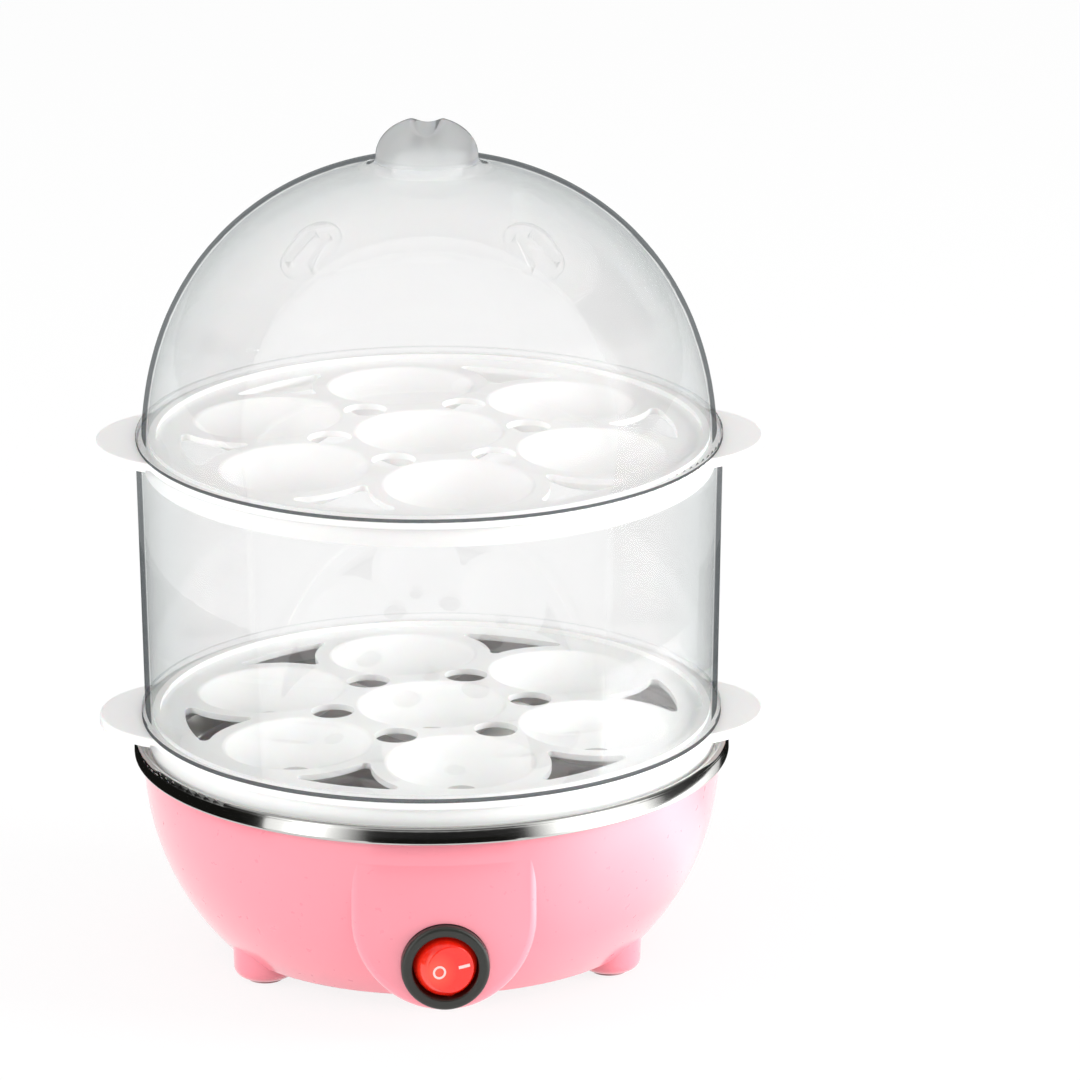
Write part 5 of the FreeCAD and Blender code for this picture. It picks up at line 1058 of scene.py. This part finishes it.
    def build_room(self) -> bpy.types.Object:
        """Set grey flags and bright windows round the object, which only reflections see.

        Returns:
            The room's shell.
        """
        mesh = bpy.data.meshes.new("room_shell")
        form = bmesh.new()
        bmesh.ops.create_uvsphere(form, u_segments=self.room_segments, v_segments=self.room_rings,
                                  radius=self.room_radius)
        low = [vert for vert in form.verts if vert.co.z < -0.1 * MM]
        bmesh.ops.delete(form, geom=low, context="VERTS")
        form.to_mesh(mesh)
        form.free()
        shell = bpy.data.objects.new("room_shell", mesh)
        bpy.context.scene.collection.objects.link(shell)
        material, tree, place = new_tree("grey_flags_and_windows")
        split = add_node(tree, "ShaderNodeSeparateXYZ", links={"Vector": place})
        bearing = add_node(tree, "ShaderNodeMath", {"operation": "ARCTAN2"},
                           links={"0": split.outputs["X"], "1": split.outputs["Y"]})
        share = add_node(tree, "ShaderNodeMapRange",
                         values={"From Min": -math.pi, "From Max": math.pi, "To Min": 0.0, "To Max": 1.0},
                         links={"Value": bearing.outputs[0]})
        walls = add_node(tree, "ShaderNodeValToRGB", links={"Fac": share.outputs["Result"]})
        fill_ramp(walls, self.wall_steps)
        windows = add_node(tree, "ShaderNodeValToRGB", links={"Fac": share.outputs["Result"]})
        fill_ramp(windows, self.window_steps)
        height = add_node(tree, "ShaderNodeMapRange",
                          values={"From Min": self.ceiling_low_share * self.room_radius,
                                  "From Max": self.ceiling_high_share * self.room_radius,
                                  "To Min": 0.0, "To Max": 1.0},
                          links={"Value": split.outputs["Z"]})
        skin = add_node(tree, "ShaderNodeMix", {"data_type": "RGBA"}, {MIX_SECOND: srgb(self.ceiling)},
                        {MIX_SHARE: height.outputs["Result"], MIX_FIRST: walls.outputs["Color"]})
        open_share = add_node(tree, "ShaderNodeMath", {"operation": "SUBTRACT"}, {"0": 1.0},
                              {"1": height.outputs["Result"]})
        bright = add_node(tree, "ShaderNodeMath", {"operation": "MULTIPLY"},
                          links={"0": windows.outputs["Color"], "1": open_share.outputs[0]})
        power = add_node(tree, "ShaderNodeMath", {"operation": "MULTIPLY_ADD"},
                         {"1": self.window_strength, "2": self.room_strength}, {"0": bright.outputs[0]})
        glow = add_node(tree, "ShaderNodeEmission",
                        links={"Color": skin.outputs[MIX_RESULT], "Strength": power.outputs[0]})
        add_node(tree, "ShaderNodeOutputMaterial", links={"Surface": glow.outputs[0]})
        material.cycles.emission_sampling = "NONE"
        mesh.materials.append(material)
        shell.visible_camera = False
        shell.visible_diffuse = False
        shell.visible_transmission = False
        shell.visible_shadow = False
        return shell

    def build_floor(self) -> bpy.types.Object:
        """Lay a plain white floor that keeps the object's soft shadow.

        Returns:
            The floor object.
        """
        half = self.floor_size / 2
        mesh = bpy.data.meshes.new("floor")
        mesh.from_pydata([(-half, -half, 0), (half, -half, 0), (half, half, 0), (-half, half, 0)], [], [(0, 1, 2, 3)])
        floor = bpy.data.objects.new("floor", mesh)
        bpy.context.scene.collection.objects.link(floor)
        material, tree, _ = new_tree("white_paper_sweep")
        paper = add_node(tree, "ShaderNodeBsdfDiffuse", values={"Color": srgb(self.paper)})
        white = add_node(tree, "ShaderNodeEmission", values={"Color": srgb(self.white), "Strength": 1.0})
        share = add_node(tree, "ShaderNodeMath", {"operation": "MULTIPLY"}, {"1": self.floor_white_share},
                         {"0": self.seen_share(tree)})
        sweep = add_node(tree, "ShaderNodeMixShader",
                         links={"0": share.outputs[0], "1": paper.outputs[0], "2": white.outputs[0]})
        add_node(tree, "ShaderNodeOutputMaterial", links={"Surface": sweep.outputs[0]})
        mesh.materials.append(material)
        return floor

    def build(self) -> None:
        """Make the floor, the surround, the lamps and the camera."""
        bpy.context.scene.view_settings.view_transform = "Standard"
        self.build_floor()
        self.build_world()
        self.build_room()
        for card in self.cards:
            card.build()
        for box in self.boxes:
            box.build()
        self.build_camera()


def main() -> None:
    """Load the solids, dress each sub-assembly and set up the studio."""
    logging.basicConfig(level=logging.INFO, format="%(message)s")
    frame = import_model()
    shelf = FinishShelf()
    groups: tuple[SubAssembly, ...] = (
        HeatingBase(), WaterBowl(), RingHeater(), HeatGuards(), Wiring(), RockerSwitch(),
        CuppedTray("lower_tray"), RingCover(), CuppedTray("upper_tray"), DomedLid())
    for group in groups:
        group.dress(frame["nodes"], shelf)
    Studio().build()


if __name__ == "__main__":
    main()
